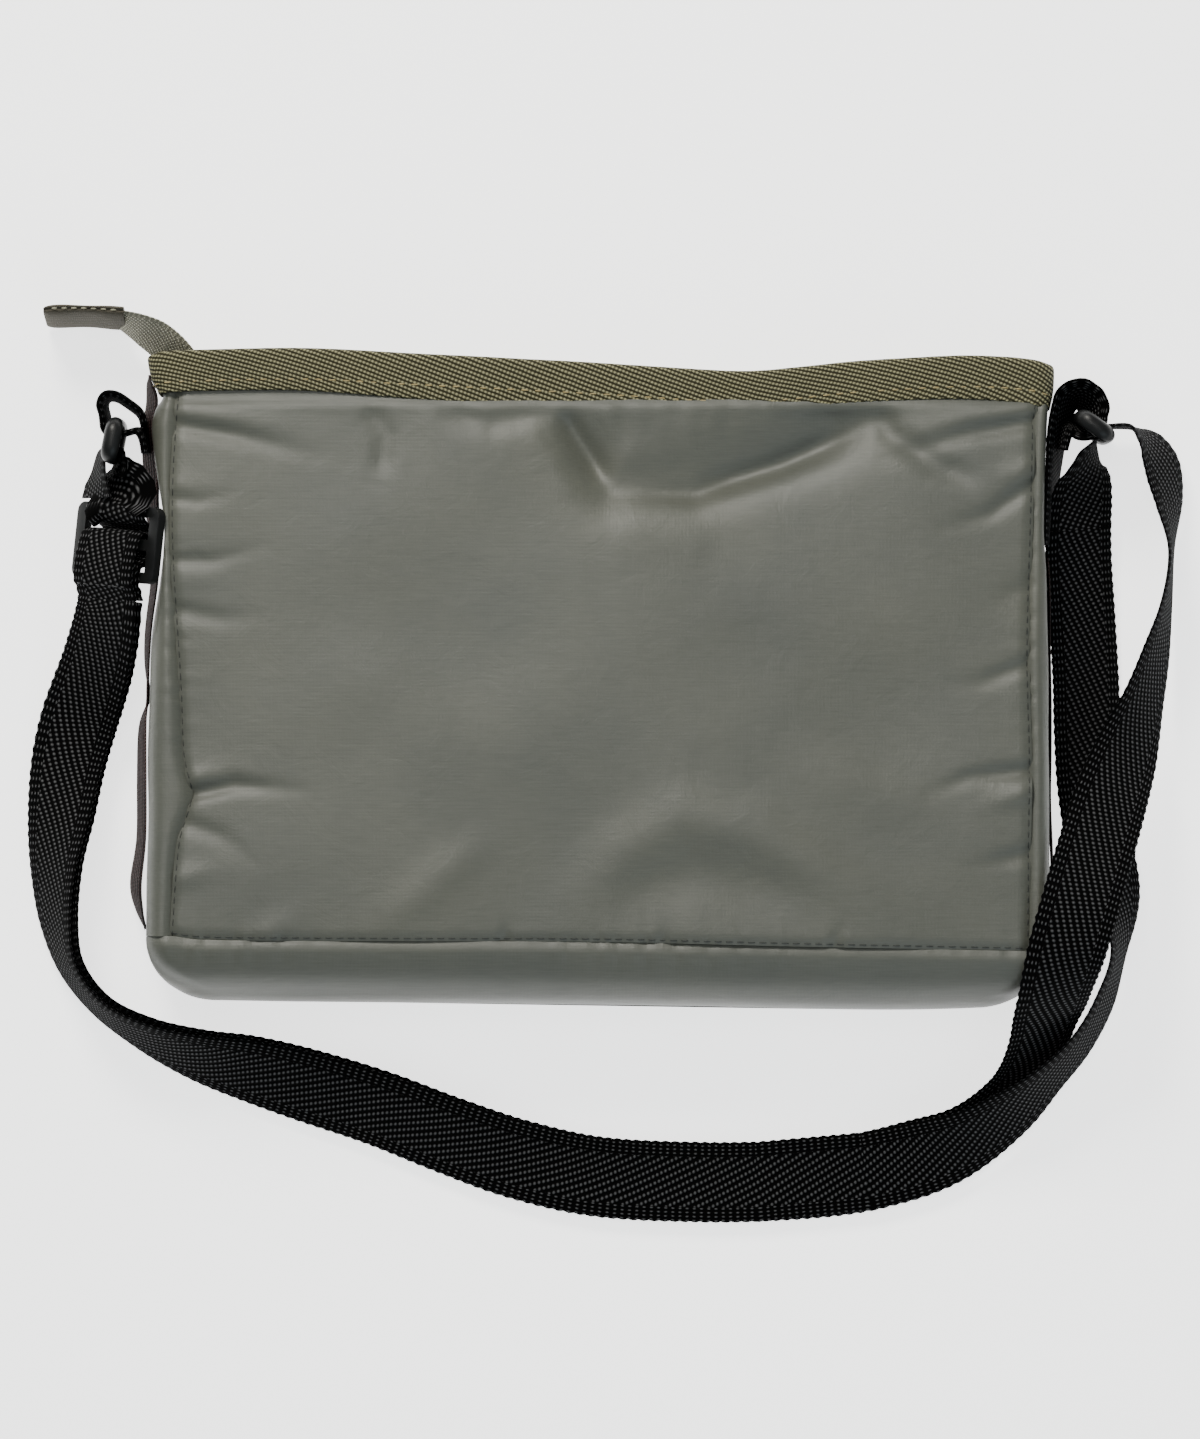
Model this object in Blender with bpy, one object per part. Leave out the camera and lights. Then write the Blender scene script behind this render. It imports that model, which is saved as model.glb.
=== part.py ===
"""Crossbody purse lying on its front panel: panels, zip, side rings and the doubled shoulder strap.

The front panel rests on z = 0 and the mouth points to +Y. The origin is the centre of the panel's
flat outer face. The strap lies on the same surface, round the bottom edge of the bag.
"""
import math

import bmesh
import bpy
from mathutils import Matrix, Vector

MM = 0.001
GAP = 0.3 * MM

# Bag body
SEAM_X = 131.4 * MM             # back and front panels end here, at the side seams
SIDE_DEPTH = {-1: 6.0 * MM, 1: 5.0 * MM}   # the gussets stand out this far past the side seams
DEPTH_AT_RIM = 28.0 * MM
DEPTH_AT_BASE = 46.0 * MM
RIM_Y = 100.8 * MM
BASE_SEAM_Y = -79.2 * MM        # the seam between the back panel and the bottom panel
BASE_ROLL = 20.8 * MM           # how far the bottom panel rolls past its seam
FABRIC = 1.0 * MM               # nylon shell with its lining
WAIST_Y = 42.0 * MM             # the gussets are drawn in here, beside the strap hardware
WAIST_SPREAD = 28.0 * MM
WAIST_PULL = {-1: 3.6 * MM, 1: 3.2 * MM}

# Rim binding, a webbing folded over the edge of the mouth
BINDING_DROP = 13.0 * MM
BINDING_LEG = 1.1 * MM
BINDING_CHANNEL = FABRIC + 2 * GAP
RIM_STEP = BINDING_LEG + GAP    # panels step in by this much to go inside the binding

# Zip
ZIP_Y = 90.0 * MM
ZIP_MIDDLE_Z = DEPTH_AT_RIM / 2
ZIP_END_X = 121.0 * MM
TAPE_THICK = 0.7 * MM
TAPE_WIDTH = 8.4 * MM
COIL_WIDTH = 2.1 * MM
COIL_HEIGHT = 1.7 * MM
COIL_HALF_SPLIT = 0.9 * MM
SLIDER_X = 118.0 * MM
SLIDER_LENGTH = 11.0 * MM
SLIDER_WIDTH = 9.0 * MM
PULL_LENGTH = 22.0 * MM
PULL_WIDTH = 6.4 * MM
PULL_PIN_Y = 96.2 * MM
SLIDER_PLATE = 1.3 * MM
SLIDER_BRIDGE = 0.8 * MM        # the web between the slider's plates, between the two coils
ARCH_INNER = 1.6 * MM           # the arch's legs stand this far from its middle
ARCH_OUTER = 3.4 * MM
ARCH_WIDTH = 1.6 * MM
ARCH_RISE = 2.1 * MM            # top of the arch above the puller's pin
ARCH_ROOF = 1.0 * MM
PULL_PIN_RADIUS = 0.6 * MM
PULL_PIN_LENGTH = 4.8 * MM
PULL_ARM = 7.0 * MM
PULL_FORK = 1.7 * MM            # half the gap between the puller's arms
TAIL_WIDTH = 19.2 * MM
TAIL_THICK = 1.2 * MM
END_TAB_LOW = Vector((-171.0, 109.9, 1.0)) * MM
END_TAB_HIGH = Vector((-146.4, 113.7, 26.0)) * MM
END_TAB_BEVEL = 0.8 * MM

# Webbing and strap hardware
WEBBING = 25.0 * MM
WEBBING_THICK = 1.3 * MM
LAYER_GAP = 2.6 * MM            # between the middles of the two strap layers
RING_LONG = 35.0 * MM
RING_BAR_RADIUS = 2.2 * MM
RING_Z = 17.5 * MM
BAR_WRAP = RING_BAR_RADIUS + GAP + WEBBING_THICK / 2
TAB_WIDTH = 24.0 * MM
SLIDE_SPAN = 34.0 * MM
SLIDE_LENGTH = 23.5 * MM
SLIDE_BAR = 3.4 * MM
SLIDE_THICK = 3.0 * MM
SLIDE_PLACE = Vector((-148.0, 42.5, 24.0)) * MM
SLIDE_LEAN = math.radians(40)
SLIDE_HEADING = math.radians(-96)
SIDE_TAPE_WIDTH = 19.0 * MM
SIDE_TAPE_THICK = 0.8 * MM

# Bars of the two rings, in XY: the tab holds the first and the strap goes round the second
RING_BARS = {
    "left": (Vector((-148.6, 78.8)) * MM, Vector((-150.6, 68.9)) * MM),
    "right": (Vector((146.7, 80.9)) * MM, Vector((154.6, 75.1)) * MM),
}

# The strap's stations in millimetres: x, y, z of the middle and the lean in degrees.
# A positive lean lifts the edge nearer the bag.
SHARED_ROUTE = [
    (-149.7, 25.4, 23.6, 40), (-150.2, 21.0, 23.0, 39), (-151.6, 14.0, 20.0, 35),
    (-154.4, 4.5, 14.4, 28), (-157.6, -4.0, 9.6, 21), (-160.8, -13.0, 6.6, 18),
    (-163.6, -25.0, 6.6, 24), (-165.4, -41.0, 9.4, 36), (-166.5, -57.0, 12.0, 52),
    (-165.6, -73.0, 13.2, 64), (-161.8, -87.0, 13.6, 74),
    (-152.6, -98.8, 13.6, 76), (-139.5, -107.0, 13.4, 68), (-123.6, -113.5, 11.4, 53),
    (-108.3, -118.0, 9.0, 38), (-89.9, -123.8, 6.8, 27), (-68.4, -130.8, 6.0, 23),
    (-46.8, -139.3, 5.0, 18), (-25.3, -147.0, 3.2, 9), (-0.6, -152.6, 1.4, 0),
    (30.2, -154.2, 1.4, 0), (55.0, -153.8, 1.6, 1),
]
OUTER_ROUTE = [
    (78.0, -151.6, 2.4, 5), (96.5, -146.7, 4.2, 14), (111.5, -140.2, 7.6, 32),
    (122.5, -131.0, 10.0, 42), (130.8, -118.8, 15.0, 50), (135.4, -105.6, 27.6, 48),
    (138.0, -95.0, 39.6, 32), (141.2, -82.0, 46.4, 13), (145.4, -67.6, 45.2, 11),
    (150.4, -51.4, 38.0, 14), (155.4, -36.2, 30.5, 20), (161.2, -20.9, 23.0, 36),
    (166.4, -5.6, 18.5, 56), (170.6, 9.8, 15.0, 68), (173.6, 25.1, 13.6, 80),
    (174.9, 40.5, 13.6, 86), (174.4, 54.3, 14.4, 80), (172.6, 65.0, 16.2, 84),
    (170.0, 71.4, 17.4, 88), (167.4, 74.6, 17.5, 90),
]
INNER_ROUTE = [
    (78.0, -151.6, 5.1, 5), (96.5, -147.2, 7.2, 16), (112.0, -141.2, 11.0, 36),
    (125.4, -132.5, 13.0, 50), (136.4, -122.8, 14.8, 64), (146.8, -111.6, 15.4, 70),
    (154.4, -98.0, 15.2, 73), (158.6, -83.0, 14.0, 76), (158.2, -67.6, 12.2, 54),
    (153.6, -51.7, 8.6, 33), (150.8, -33.3, 7.6, 28), (149.4, -14.8, 7.8, 30),
    (148.9, 0.6, 8.0, 31), (147.8, 19.1, 8.8, 34), (147.0, 36.0, 11.5, 45),
    (147.3, 47.0, 15.4, 66), (148.2, 54.0, 17.2, 82), (148.8, 59.4, 17.5, 90),
]

COLOURS = {
    "nylon": ((0.155, 0.16, 0.13), 0.42, 0.0),
    "rim_webbing": ((0.14, 0.13, 0.075), 0.8, 0.0),
    "tab_nylon": ((0.1, 0.088, 0.062), 0.6, 0.0),
    "zip_tape": ((0.2, 0.19, 0.14), 0.8, 0.0),
    "zip_coil": ((0.08, 0.078, 0.06), 0.45, 0.0),
    "zip_metal": ((0.06, 0.058, 0.05), 0.4, 0.8),
    "strap_webbing": ((0.008, 0.008, 0.008), 0.7, 0.0),
    "side_tape": ((0.038, 0.022, 0.022), 0.8, 0.0),
    "black_plastic": ((0.008, 0.008, 0.008), 0.35, 0.0),
}


def clear_scene():
    """Remove every object that is already there."""
    for obj in list(bpy.data.objects):
        bpy.data.objects.remove(obj, do_unlink=True)


def get_material(name):
    """Return the named material, made once from COLOURS."""
    found = bpy.data.materials.get(name)
    if found:
        return found
    colour, roughness, metallic = COLOURS[name]
    material = bpy.data.materials.new(name)
    material.use_nodes = True
    shader = material.node_tree.nodes["Principled BSDF"]
    shader.inputs["Base Color"].default_value = (*colour, 1.0)
    shader.inputs["Roughness"].default_value = roughness
    shader.inputs["Metallic"].default_value = metallic
    return material


def object_from_bmesh(name, bm, material, smooth_angle=35):
    """Turn a bmesh into a named object with one material, shaded smooth up to an angle."""
    bmesh.ops.recalc_face_normals(bm, faces=bm.faces)
    mesh = bpy.data.meshes.new(name)
    bm.to_mesh(mesh)
    bm.free()
    mesh.shade_smooth()
    mesh.set_sharp_from_angle(angle=math.radians(smooth_angle))
    mesh.materials.append(get_material(material))
    obj = bpy.data.objects.new(name, mesh)
    bpy.context.scene.collection.objects.link(obj)
    return obj


def set_origin(obj, point):
    """Put an object's origin on its joint without moving its shape."""
    obj.data.transform(Matrix.Translation(-point))
    obj.location = point


# ---------------------------------------------------------------- the bag's section

def panel_depth(y):
    """Height of the back panel above the front panel at y."""
    share = (y - BASE_SEAM_Y) / (RIM_Y - BASE_SEAM_Y)
    return DEPTH_AT_BASE + share * (DEPTH_AT_RIM - DEPTH_AT_BASE)


def side_reach(y, side):
    """How far the gusset stands past its seam at y; the waist draws it in."""
    waist = math.exp(-((y - WAIST_Y) / WAIST_SPREAD) ** 2)
    return SIDE_DEPTH[side] - WAIST_PULL[side] * waist


def rim_inset(y):
    """How far the shell steps in at y, to go inside the binding."""
    start = RIM_Y - BINDING_DROP - 4 * MM
    share = min(max((y - start) / (3.4 * MM), 0.0), 1.0)
    return RIM_STEP * share * share * (3 - 2 * share)


def gusset_profile(y, side, inset, corner_steps=5):
    """Points in XZ from the back seam, round the gusset's side, to the front seam."""
    top = panel_depth(y) - inset
    bottom = inset
    radius = side_reach(y, side) - inset
    points = []
    for step in range(corner_steps + 1):
        angle = math.pi / 2 * (1 - step / corner_steps)
        points.append((SEAM_X + radius * math.cos(angle), top - radius + radius * math.sin(angle)))
    for step in range(corner_steps + 1):
        angle = -math.pi / 2 * step / corner_steps
        points.append((SEAM_X + radius * math.cos(angle), bottom + radius + radius * math.sin(angle)))
    return [(side * x, z) for x, z in points]


def grid_faces(bm, rows):
    """Join rows of vertices with quads."""
    for lower, upper in zip(rows, rows[1:]):
        for index in range(len(lower) - 1):
            bm.faces.new((lower[index], lower[index + 1], upper[index + 1], upper[index]))


def spread(low, high, count):
    """Even values from low to high, both included."""
    return [low + (high - low) * index / (count - 1) for index in range(count)]


def fabric_object(name, bm, probe, inward):
    """Finish a nylon panel: face its mesh away from `inward` at one face, then thicken it inwards."""
    bmesh.ops.recalc_face_normals(bm, faces=bm.faces)
    bm.normal_update()
    bm.faces.ensure_lookup_table()
    if bm.faces[probe].normal.dot(inward) > 0:
        bmesh.ops.reverse_faces(bm, faces=bm.faces)
    mesh = bpy.data.meshes.new(name)
    bm.to_mesh(mesh)
    bm.free()
    mesh.shade_smooth()
    mesh.materials.append(get_material("nylon"))
    obj = bpy.data.objects.new(name, mesh)
    bpy.context.scene.collection.objects.link(obj)
    thick = obj.modifiers.new("Fabric", "SOLIDIFY")
    thick.thickness = FABRIC
    thick.offset = -1


def shell_object(name, rows, inward):
    """Make a nylon panel from rows of points on its outer face."""
    bm = bmesh.new()
    grid_faces(bm, [[bm.verts.new(point) for point in row] for row in rows])
    fabric_object(name, bm, len(bm.faces) // 2, inward)


def panel_stations():
    """Values of y from the base seam to the hidden top edge, finer where the shell steps in."""
    step_start = RIM_Y - BINDING_DROP - 4 * MM
    top = RIM_Y - BINDING_LEG - GAP
    body = spread(BASE_SEAM_Y + GAP, step_start, 12)
    return body + spread(step_start + 0.85 * MM, step_start + 3.4 * MM, 4) + [top]


def build_flat_panels():
    """The back panel on top and the front panel that the bag lies on."""
    across = spread(-SEAM_X + 2 * GAP, SEAM_X - 2 * GAP, 13)
    back = [[(x, y, panel_depth(y) - rim_inset(y)) for x in across] for y in panel_stations()]
    front = [[(x, y, rim_inset(y)) for x in across] for y in panel_stations()]
    shell_object("back_panel", back, Vector((0, 0, -1)))
    shell_object("front_panel", front, Vector((0, 0, 1)))


def build_gussets():
    """One gusset on each side, between the back and front panels."""
    for side, name in ((-1, "side_gusset_left"), (1, "side_gusset_right")):
        rows = []
        for y in panel_stations():
            profile = gusset_profile(y, side, rim_inset(y))
            rows.append([(x, y, z) for x, z in profile])
        shell_object(name, rows, Vector((-side, 0, 0)))


def base_loop(turn):
    """Closed loop of the bottom panel at one angle of its roll, 0 at the seam."""
    half = max(DEPTH_AT_BASE / 2 * math.cos(turn), 1.6 * MM)
    draw_in = BASE_ROLL * (1 - math.cos(turn))
    y = BASE_SEAM_Y - GAP - (BASE_ROLL - GAP) * math.sin(turn)
    middle = DEPTH_AT_BASE / 2
    loop = []
    corners = ((1, 1, 90), (1, -1, 0), (-1, -1, -90), (-1, 1, -180))
    for side, up, first in corners:
        radius = min(SIDE_DEPTH[side] + draw_in * 0.7, half * 0.98)
        reach = SEAM_X + SIDE_DEPTH[side] - draw_in
        for step in range(6):
            angle = math.radians(first - 90 * step / 5)
            centre_x = side * (reach - radius)
            centre_z = middle + up * (half - radius)
            loop.append((centre_x + radius * math.cos(angle), y, centre_z + radius * math.sin(angle)))
    return loop


def build_bottom_panel():
    """The bottom panel, a long shallow bowl that closes the bag's lower edge."""
    bm = bmesh.new()
    rows = []
    for turn in spread(0, math.radians(88), 9):
        rows.append([bm.verts.new(point) for point in base_loop(turn)])
    grid_faces(bm, [row + [row[0]] for row in rows])
    bm.faces.new(rows[-1])
    fabric_object("bottom_panel", bm, len(bm.faces) - 1, Vector((0, 1, 0)))


def mouth_loop(y, inset):
    """Closed XZ loop round the mouth at y, drawn in from the outside by inset."""
    right = gusset_profile(y, 1, inset, 4)
    left = gusset_profile(y, -1, inset, 4)
    return [(x, y, z) for x, z in right + left[::-1]]


def build_rim_binding():
    """The webbing folded over the mouth's edge: a channel swept once round the mouth."""
    low = RIM_Y - BINDING_DROP
    channel = BINDING_LEG + BINDING_CHANNEL
    inner = channel + BINDING_LEG
    section = [
        (low, 0.0), (RIM_Y - 0.5 * MM, 0.0), (RIM_Y, 0.6 * MM), (RIM_Y, inner - 0.6 * MM),
        (RIM_Y - 0.5 * MM, inner), (low, inner), (low, channel),
        (RIM_Y - BINDING_LEG, channel), (RIM_Y - BINDING_LEG, BINDING_LEG), (low, BINDING_LEG),
    ]
    bm = bmesh.new()
    rows = [[bm.verts.new(point) for point in mouth_loop(y, inset)] for y, inset in section]
    grid_faces(bm, [row + [row[0]] for row in rows + [rows[0]]])
    object_from_bmesh("rim_binding", bm, "rim_webbing")


# ---------------------------------------------------------------- zip

def add_box(bm, low, high):
    """Add a box between two corners to a bmesh."""
    size = [b - a for a, b in zip(low, high)]
    middle = [(a + b) / 2 for a, b in zip(low, high)]
    place = Matrix.Translation(middle) @ Matrix.Diagonal((*size, 1))
    return bmesh.ops.create_cube(bm, size=1, matrix=place)


def box_object(name, low, high, material, bevel=0.0):
    """One rounded box as an object."""
    bm = bmesh.new()
    add_box(bm, low, high)
    if bevel:
        bmesh.ops.bevel(bm, geom=bm.edges, offset=bevel, segments=2, profile=0.5, affect="EDGES")
    return object_from_bmesh(name, bm, material)


def build_zip_tapes():
    """Two tapes across the mouth, each with its coil on the outer face near the middle."""
    for side, name in ((1, "back"), (-1, "front")):
        inner_edge = ZIP_MIDDLE_Z + side * (COIL_HALF_SPLIT + 0.4 * MM)
        outer_edge = inner_edge + side * TAPE_WIDTH
        low_z, high_z = sorted((inner_edge, outer_edge))
        box_object(f"zip_tape_{name}", (-ZIP_END_X, ZIP_Y, low_z),
                   (ZIP_END_X + 8 * MM, ZIP_Y + TAPE_THICK, high_z), "zip_tape")
        build_coil(f"zip_coil_{name}", side)


def build_coil(name, side):
    """A moulded coil strip with a ridged top, one ridge to each group of turns."""
    base_y = ZIP_Y + TAPE_THICK + GAP
    near = ZIP_MIDDLE_Z + side * COIL_HALF_SPLIT
    far = near + side * COIL_WIDTH
    pitch = 4.0 * MM
    count = int(2 * ZIP_END_X / pitch)
    bm = bmesh.new()
    top, bottom = [], []
    for index in range(2 * count + 1):
        x = -ZIP_END_X + index * pitch / 2
        height = COIL_HEIGHT - (0.5 * MM if index % 2 else 0.0)
        top.append([bm.verts.new((x, base_y + height, z)) for z in (near, far)])
        bottom.append([bm.verts.new((x, base_y, z)) for z in (near, far)])
    for edge in (0, 1):
        grid_faces(bm, [[row[edge] for row in top], [row[edge] for row in bottom]])
    grid_faces(bm, top)
    grid_faces(bm, bottom)
    for end in (0, -1):
        bm.faces.new((top[end][0], top[end][1], bottom[end][1], bottom[end][0]))
    object_from_bmesh(name, bm, "zip_coil", 20)


def join_boxes(obj, place, boxes):
    """Fuse boxes given from `place` into an object, then move the object to `place`."""
    for index, (low, high) in enumerate(boxes):
        tool = box_object(f"{obj.name}_tool_{index}", low, high, "zip_metal")
        tool.hide_render = True
        tool.display_type = "WIRE"
        tool.location = place
        join = obj.modifiers.new(f"Join {index}", "BOOLEAN")
        join.operation = "UNION"
        join.object = tool
    obj.location = place


def build_slider():
    """Slider body: two plates joined by a thin bridge that runs between the coils, and an arch."""
    top_low = ZIP_Y + TAPE_THICK + GAP + COIL_HEIGHT + GAP
    half_x = SLIDER_LENGTH / 2
    half_z = SLIDER_WIDTH / 2
    bm = bmesh.new()
    add_box(bm, (-half_x, top_low, -half_z), (half_x, top_low + SLIDER_PLATE, half_z))
    add_box(bm, (-half_x, ZIP_Y - GAP - SLIDER_PLATE, -half_z), (half_x, ZIP_Y - GAP, half_z))
    slider = object_from_bmesh("zip_slider", bm, "zip_metal")
    arch_top = PULL_PIN_Y + ARCH_RISE
    foot_low = top_low + GAP
    half_bridge = SLIDER_BRIDGE / 2
    half_arch = ARCH_WIDTH / 2
    join_boxes(slider, Vector((SLIDER_X, 0, ZIP_MIDDLE_Z)), [
        ((-half_x / 2, ZIP_Y - 2 * GAP, -half_bridge), (half_x / 2, foot_low, half_bridge)),
        ((-ARCH_OUTER, foot_low, -half_arch), (-ARCH_INNER, arch_top, half_arch)),
        ((ARCH_INNER, foot_low, -half_arch), (ARCH_OUTER, arch_top, half_arch)),
        ((0.3 * MM - ARCH_OUTER, arch_top - ARCH_ROOF, 0.1 * MM - half_arch),
         (ARCH_OUTER - 0.3 * MM, arch_top - 0.1 * MM, half_arch - 0.1 * MM)),
    ])


def build_pull():
    """The puller: a pin through the arch, two arms and a flat tab."""
    half_pin = PULL_PIN_LENGTH / 2
    bm = bmesh.new()
    bmesh.ops.create_cone(bm, cap_ends=True, segments=10, radius1=PULL_PIN_RADIUS,
                          radius2=PULL_PIN_RADIUS, depth=2 * half_pin)
    pull = object_from_bmesh("zip_pull", bm, "zip_metal")
    half_thick = PULL_PIN_RADIUS
    half_tab = half_thick * 0.9
    half_width = PULL_WIDTH / 2
    tab_half = half_width - 0.1 * MM
    arm_end = PULL_PIN_RADIUS + 0.1 * MM
    arm_start = -PULL_ARM - 0.5 * MM
    join_boxes(pull, Vector((SLIDER_X, PULL_PIN_Y, ZIP_MIDDLE_Z)), [
        ((arm_start, -half_thick, -half_width), (arm_end, half_thick, -PULL_FORK)),
        ((arm_start, -half_thick, PULL_FORK), (arm_end, half_thick, half_width)),
        ((-PULL_LENGTH, -half_tab, -tab_half), (-PULL_ARM, half_tab, tab_half)),
    ])


def build_zip_tail():
    """The tape that leaves the mouth at its left end, and the folded tab sewn over its end."""
    path = [(-123.0, 98.4), (-127.0, 101.0), (-133.0, 104.4), (-139.0, 107.8), (-146.0, 111.4)]
    stations = [(Vector((x * MM, y * MM, ZIP_MIDDLE_Z)), Vector((0, 0, 1))) for x, y in path]
    ribbon_object("zip_tail_tape", stations, TAIL_WIDTH, TAIL_THICK, "zip_tape")
    box_object("zip_end_tab", END_TAB_LOW, END_TAB_HIGH, "tab_nylon", END_TAB_BEVEL)


# ---------------------------------------------------------------- webbing

def ribbon_object(name, stations, width, thick, material):
    """Sweep a flat section along stations of (middle, direction across the ribbon)."""
    bm = bmesh.new()
    rows = []
    for index, (middle, across) in enumerate(stations):
        before = stations[max(index - 1, 0)][0]
        after = stations[min(index + 1, len(stations) - 1)][0]
        normal = (after - before).normalized().cross(across).normalized()
        corners = []
        for edge, face in ((-1, -1), (1, -1), (1, 1), (-1, 1)):
            point = middle + across * (edge * width / 2) + normal * (face * thick / 2)
            corners.append(bm.verts.new(point))
        rows.append(corners)
    grid_faces(bm, [row + [row[0]] for row in rows])
    bm.faces.new(rows[0])
    bm.faces.new(rows[-1])
    return object_from_bmesh(name, bm, material)


def smooth_rows(rows, per_span):
    """Catmull-Rom curve through rows of numbers, both ends included."""
    padded = [rows[0], *rows, rows[-1]]
    result = []
    for index in range(1, len(padded) - 2):
        p0, p1, p2, p3 = padded[index - 1:index + 3]
        for step in range(per_span):
            t = step / per_span
            weights = (-t + 2 * t ** 2 - t ** 3, 2 - 5 * t ** 2 + 3 * t ** 3,
                       t + 4 * t ** 2 - 3 * t ** 3, t ** 3 - t ** 2)
            result.append([sum(w * p[axis] for w, p in zip(weights, (p0, p1, p2, p3))) / 2
                           for axis in range(len(p1))])
    result.append(list(rows[-1]))
    return result


def strap_stations(route, raise_by=0.0, per_span=4):
    """Turn a route in millimetres and degrees into ribbon stations, lifted off it by raise_by."""
    rows = smooth_rows(route, per_span)
    stations = []
    for index, (x, y, z, lean) in enumerate(rows):
        before = Vector(rows[max(index - 1, 0)][:3])
        after = Vector(rows[min(index + 1, len(rows) - 1)][:3])
        heading = (after - before).normalized()
        level = Vector((-heading.y, heading.x, 0)).normalized()
        angle = math.radians(lean)
        across = level * math.cos(angle) + Vector((0, 0, 1)) * math.sin(angle)
        across = (across - heading * across.dot(heading)).normalized()
        normal = heading.cross(across)
        stations.append((Vector((x, y, z)) * MM + normal * raise_by, across))
    return stations


def build_strap():
    """The two layers of the strap, each from the slide buckle to the right ring."""
    lower = strap_stations(SHARED_ROUTE + OUTER_ROUTE)
    upper = strap_stations(SHARED_ROUTE, LAYER_GAP) + strap_stations(INNER_ROUTE)
    ribbon_object("strap_lower_run", lower, WEBBING, WEBBING_THICK, "strap_webbing")
    ribbon_object("strap_upper_run", upper, WEBBING, WEBBING_THICK, "strap_webbing")


def arc(centre, radius, first, last, count):
    """Points of an arc in XY, angles in degrees."""
    points = []
    for angle in spread(math.radians(first), math.radians(last), count):
        points.append(centre + Vector((math.cos(angle), math.sin(angle))) * radius)
    return points


def loop_stations(points, z):
    """Ribbon stations for a loop in XY whose width runs along Z."""
    return [(Vector((point.x, point.y, z)), Vector((0, 0, 1))) for point in points]


def mm_points(*pairs):
    """Points in XY given in millimetres."""
    return [Vector(pair) * MM for pair in pairs]


def build_rings():
    """Two rectangular plastic rings, each one moulded loop with its long side along Z."""
    for name, (tab_bar, strap_bar) in RING_BARS.items():
        across = (strap_bar - tab_bar).normalized()
        half_long = RING_LONG / 2 - RING_BAR_RADIUS
        bend = 1.4 * MM
        corners = []
        for bar, sign in ((tab_bar, 1), (strap_bar, -1)):
            corners.append((bar + across * bend * sign, half_long))
            corners.append((bar, half_long - bend))
            corners.append((bar, bend - half_long))
            corners.append((bar + across * bend * sign, -half_long))
        order = [0, 1, 2, 3, 7, 6, 5, 4]
        curve = bpy.data.curves.new(f"ring_{name}", "CURVE")
        curve.dimensions = "3D"
        curve.bevel_depth = RING_BAR_RADIUS
        curve.bevel_resolution = 2
        curve.render_resolution_u = 0
        spline = curve.splines.new("POLY")
        spline.points.add(len(order) - 1)
        for point, index in zip(spline.points, order):
            place, height = corners[index]
            point.co = (place.x - tab_bar.x, place.y - tab_bar.y, height, 1)
        spline.use_cyclic_u = True
        ring = bpy.data.objects.new(f"ring_{name}", curve)
        ring.location = (tab_bar.x, tab_bar.y, RING_Z)
        curve.materials.append(get_material("black_plastic"))
        bpy.context.scene.collection.objects.link(ring)


def build_side_tabs():
    """Webbing tabs sewn to the gussets; each goes through its ring and back."""
    left_bar = RING_BARS["left"][0]
    left = mm_points((-140.0, 70.0), (-140.0, 76.6), (-142.4, 78.2), (-145.0, 76.6))
    left += arc(left_bar, BAR_WRAP, -100, -170, 5)
    left += mm_points((-152.4, 82.6), (-152.9, 86.4), (-151.4, 89.2), (-148.6, 88.9),
                      (-144.6, 86.0), (-140.9, 82.8), (-140.3, 79.4))
    ribbon_object("side_tab_left", loop_stations(left, RING_Z), TAB_WIDTH, WEBBING_THICK,
                  "strap_webbing")
    right_bar = RING_BARS["right"][0]
    right = mm_points((135.6, 42.0), (136.1, 50.0), (137.4, 60.0), (138.5, 68.0), (139.2, 76.0),
                      (140.4, 85.0), (143.0, 90.4), (147.0, 91.6), (150.6, 89.2), (151.6, 85.0))
    right += arc(right_bar, BAR_WRAP, 0, -110, 6)
    right += mm_points((143.2, 78.6), (141.6, 75.6), (141.0, 72.0))
    ribbon_object("side_tab_right", loop_stations(right, RING_Z), TAB_WIDTH, WEBBING_THICK,
                  "strap_webbing")


def build_ring_loops():
    """The strap's sewn end on the left ring, and its turn through the right ring."""
    left_bar = RING_BARS["left"][1]
    left = mm_points((-152.6, 58.4), (-153.6, 63.0)) + [left_bar + Vector((-BAR_WRAP, 0))]
    left += arc(left_bar, BAR_WRAP, 150, 0, 7)
    left += mm_points((-148.0, 63.0), (-149.6, 58.4))
    ribbon_object("strap_end_left", loop_stations(left, RING_Z), WEBBING, WEBBING_THICK,
                  "strap_webbing")
    right_bar = RING_BARS["right"][1]
    right = mm_points((149.0, 60.6), (149.7, 66.0), (150.8, 71.6))
    right += arc(right_bar, BAR_WRAP, 185, 80, 6)
    right += mm_points((159.4, 78.4), (163.4, 77.6), (166.6, 75.2))
    ribbon_object("strap_turn_right", loop_stations(right, RING_Z), WEBBING, WEBBING_THICK,
                  "strap_webbing")


def slide_frame():
    """Matrix of the slide buckle: X along the strap, Y across it, Z out of its upper face."""
    heading = Vector((math.cos(SLIDE_HEADING), math.sin(SLIDE_HEADING), 0))
    level = Vector((-heading.y, heading.x, 0))
    across = level * math.cos(SLIDE_LEAN) + Vector((0, 0, 1)) * math.sin(SLIDE_LEAN)
    normal = heading.cross(across)
    turn = Matrix((heading, across, normal)).transposed().to_4x4()
    return Matrix.Translation(SLIDE_PLACE) @ turn


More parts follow.
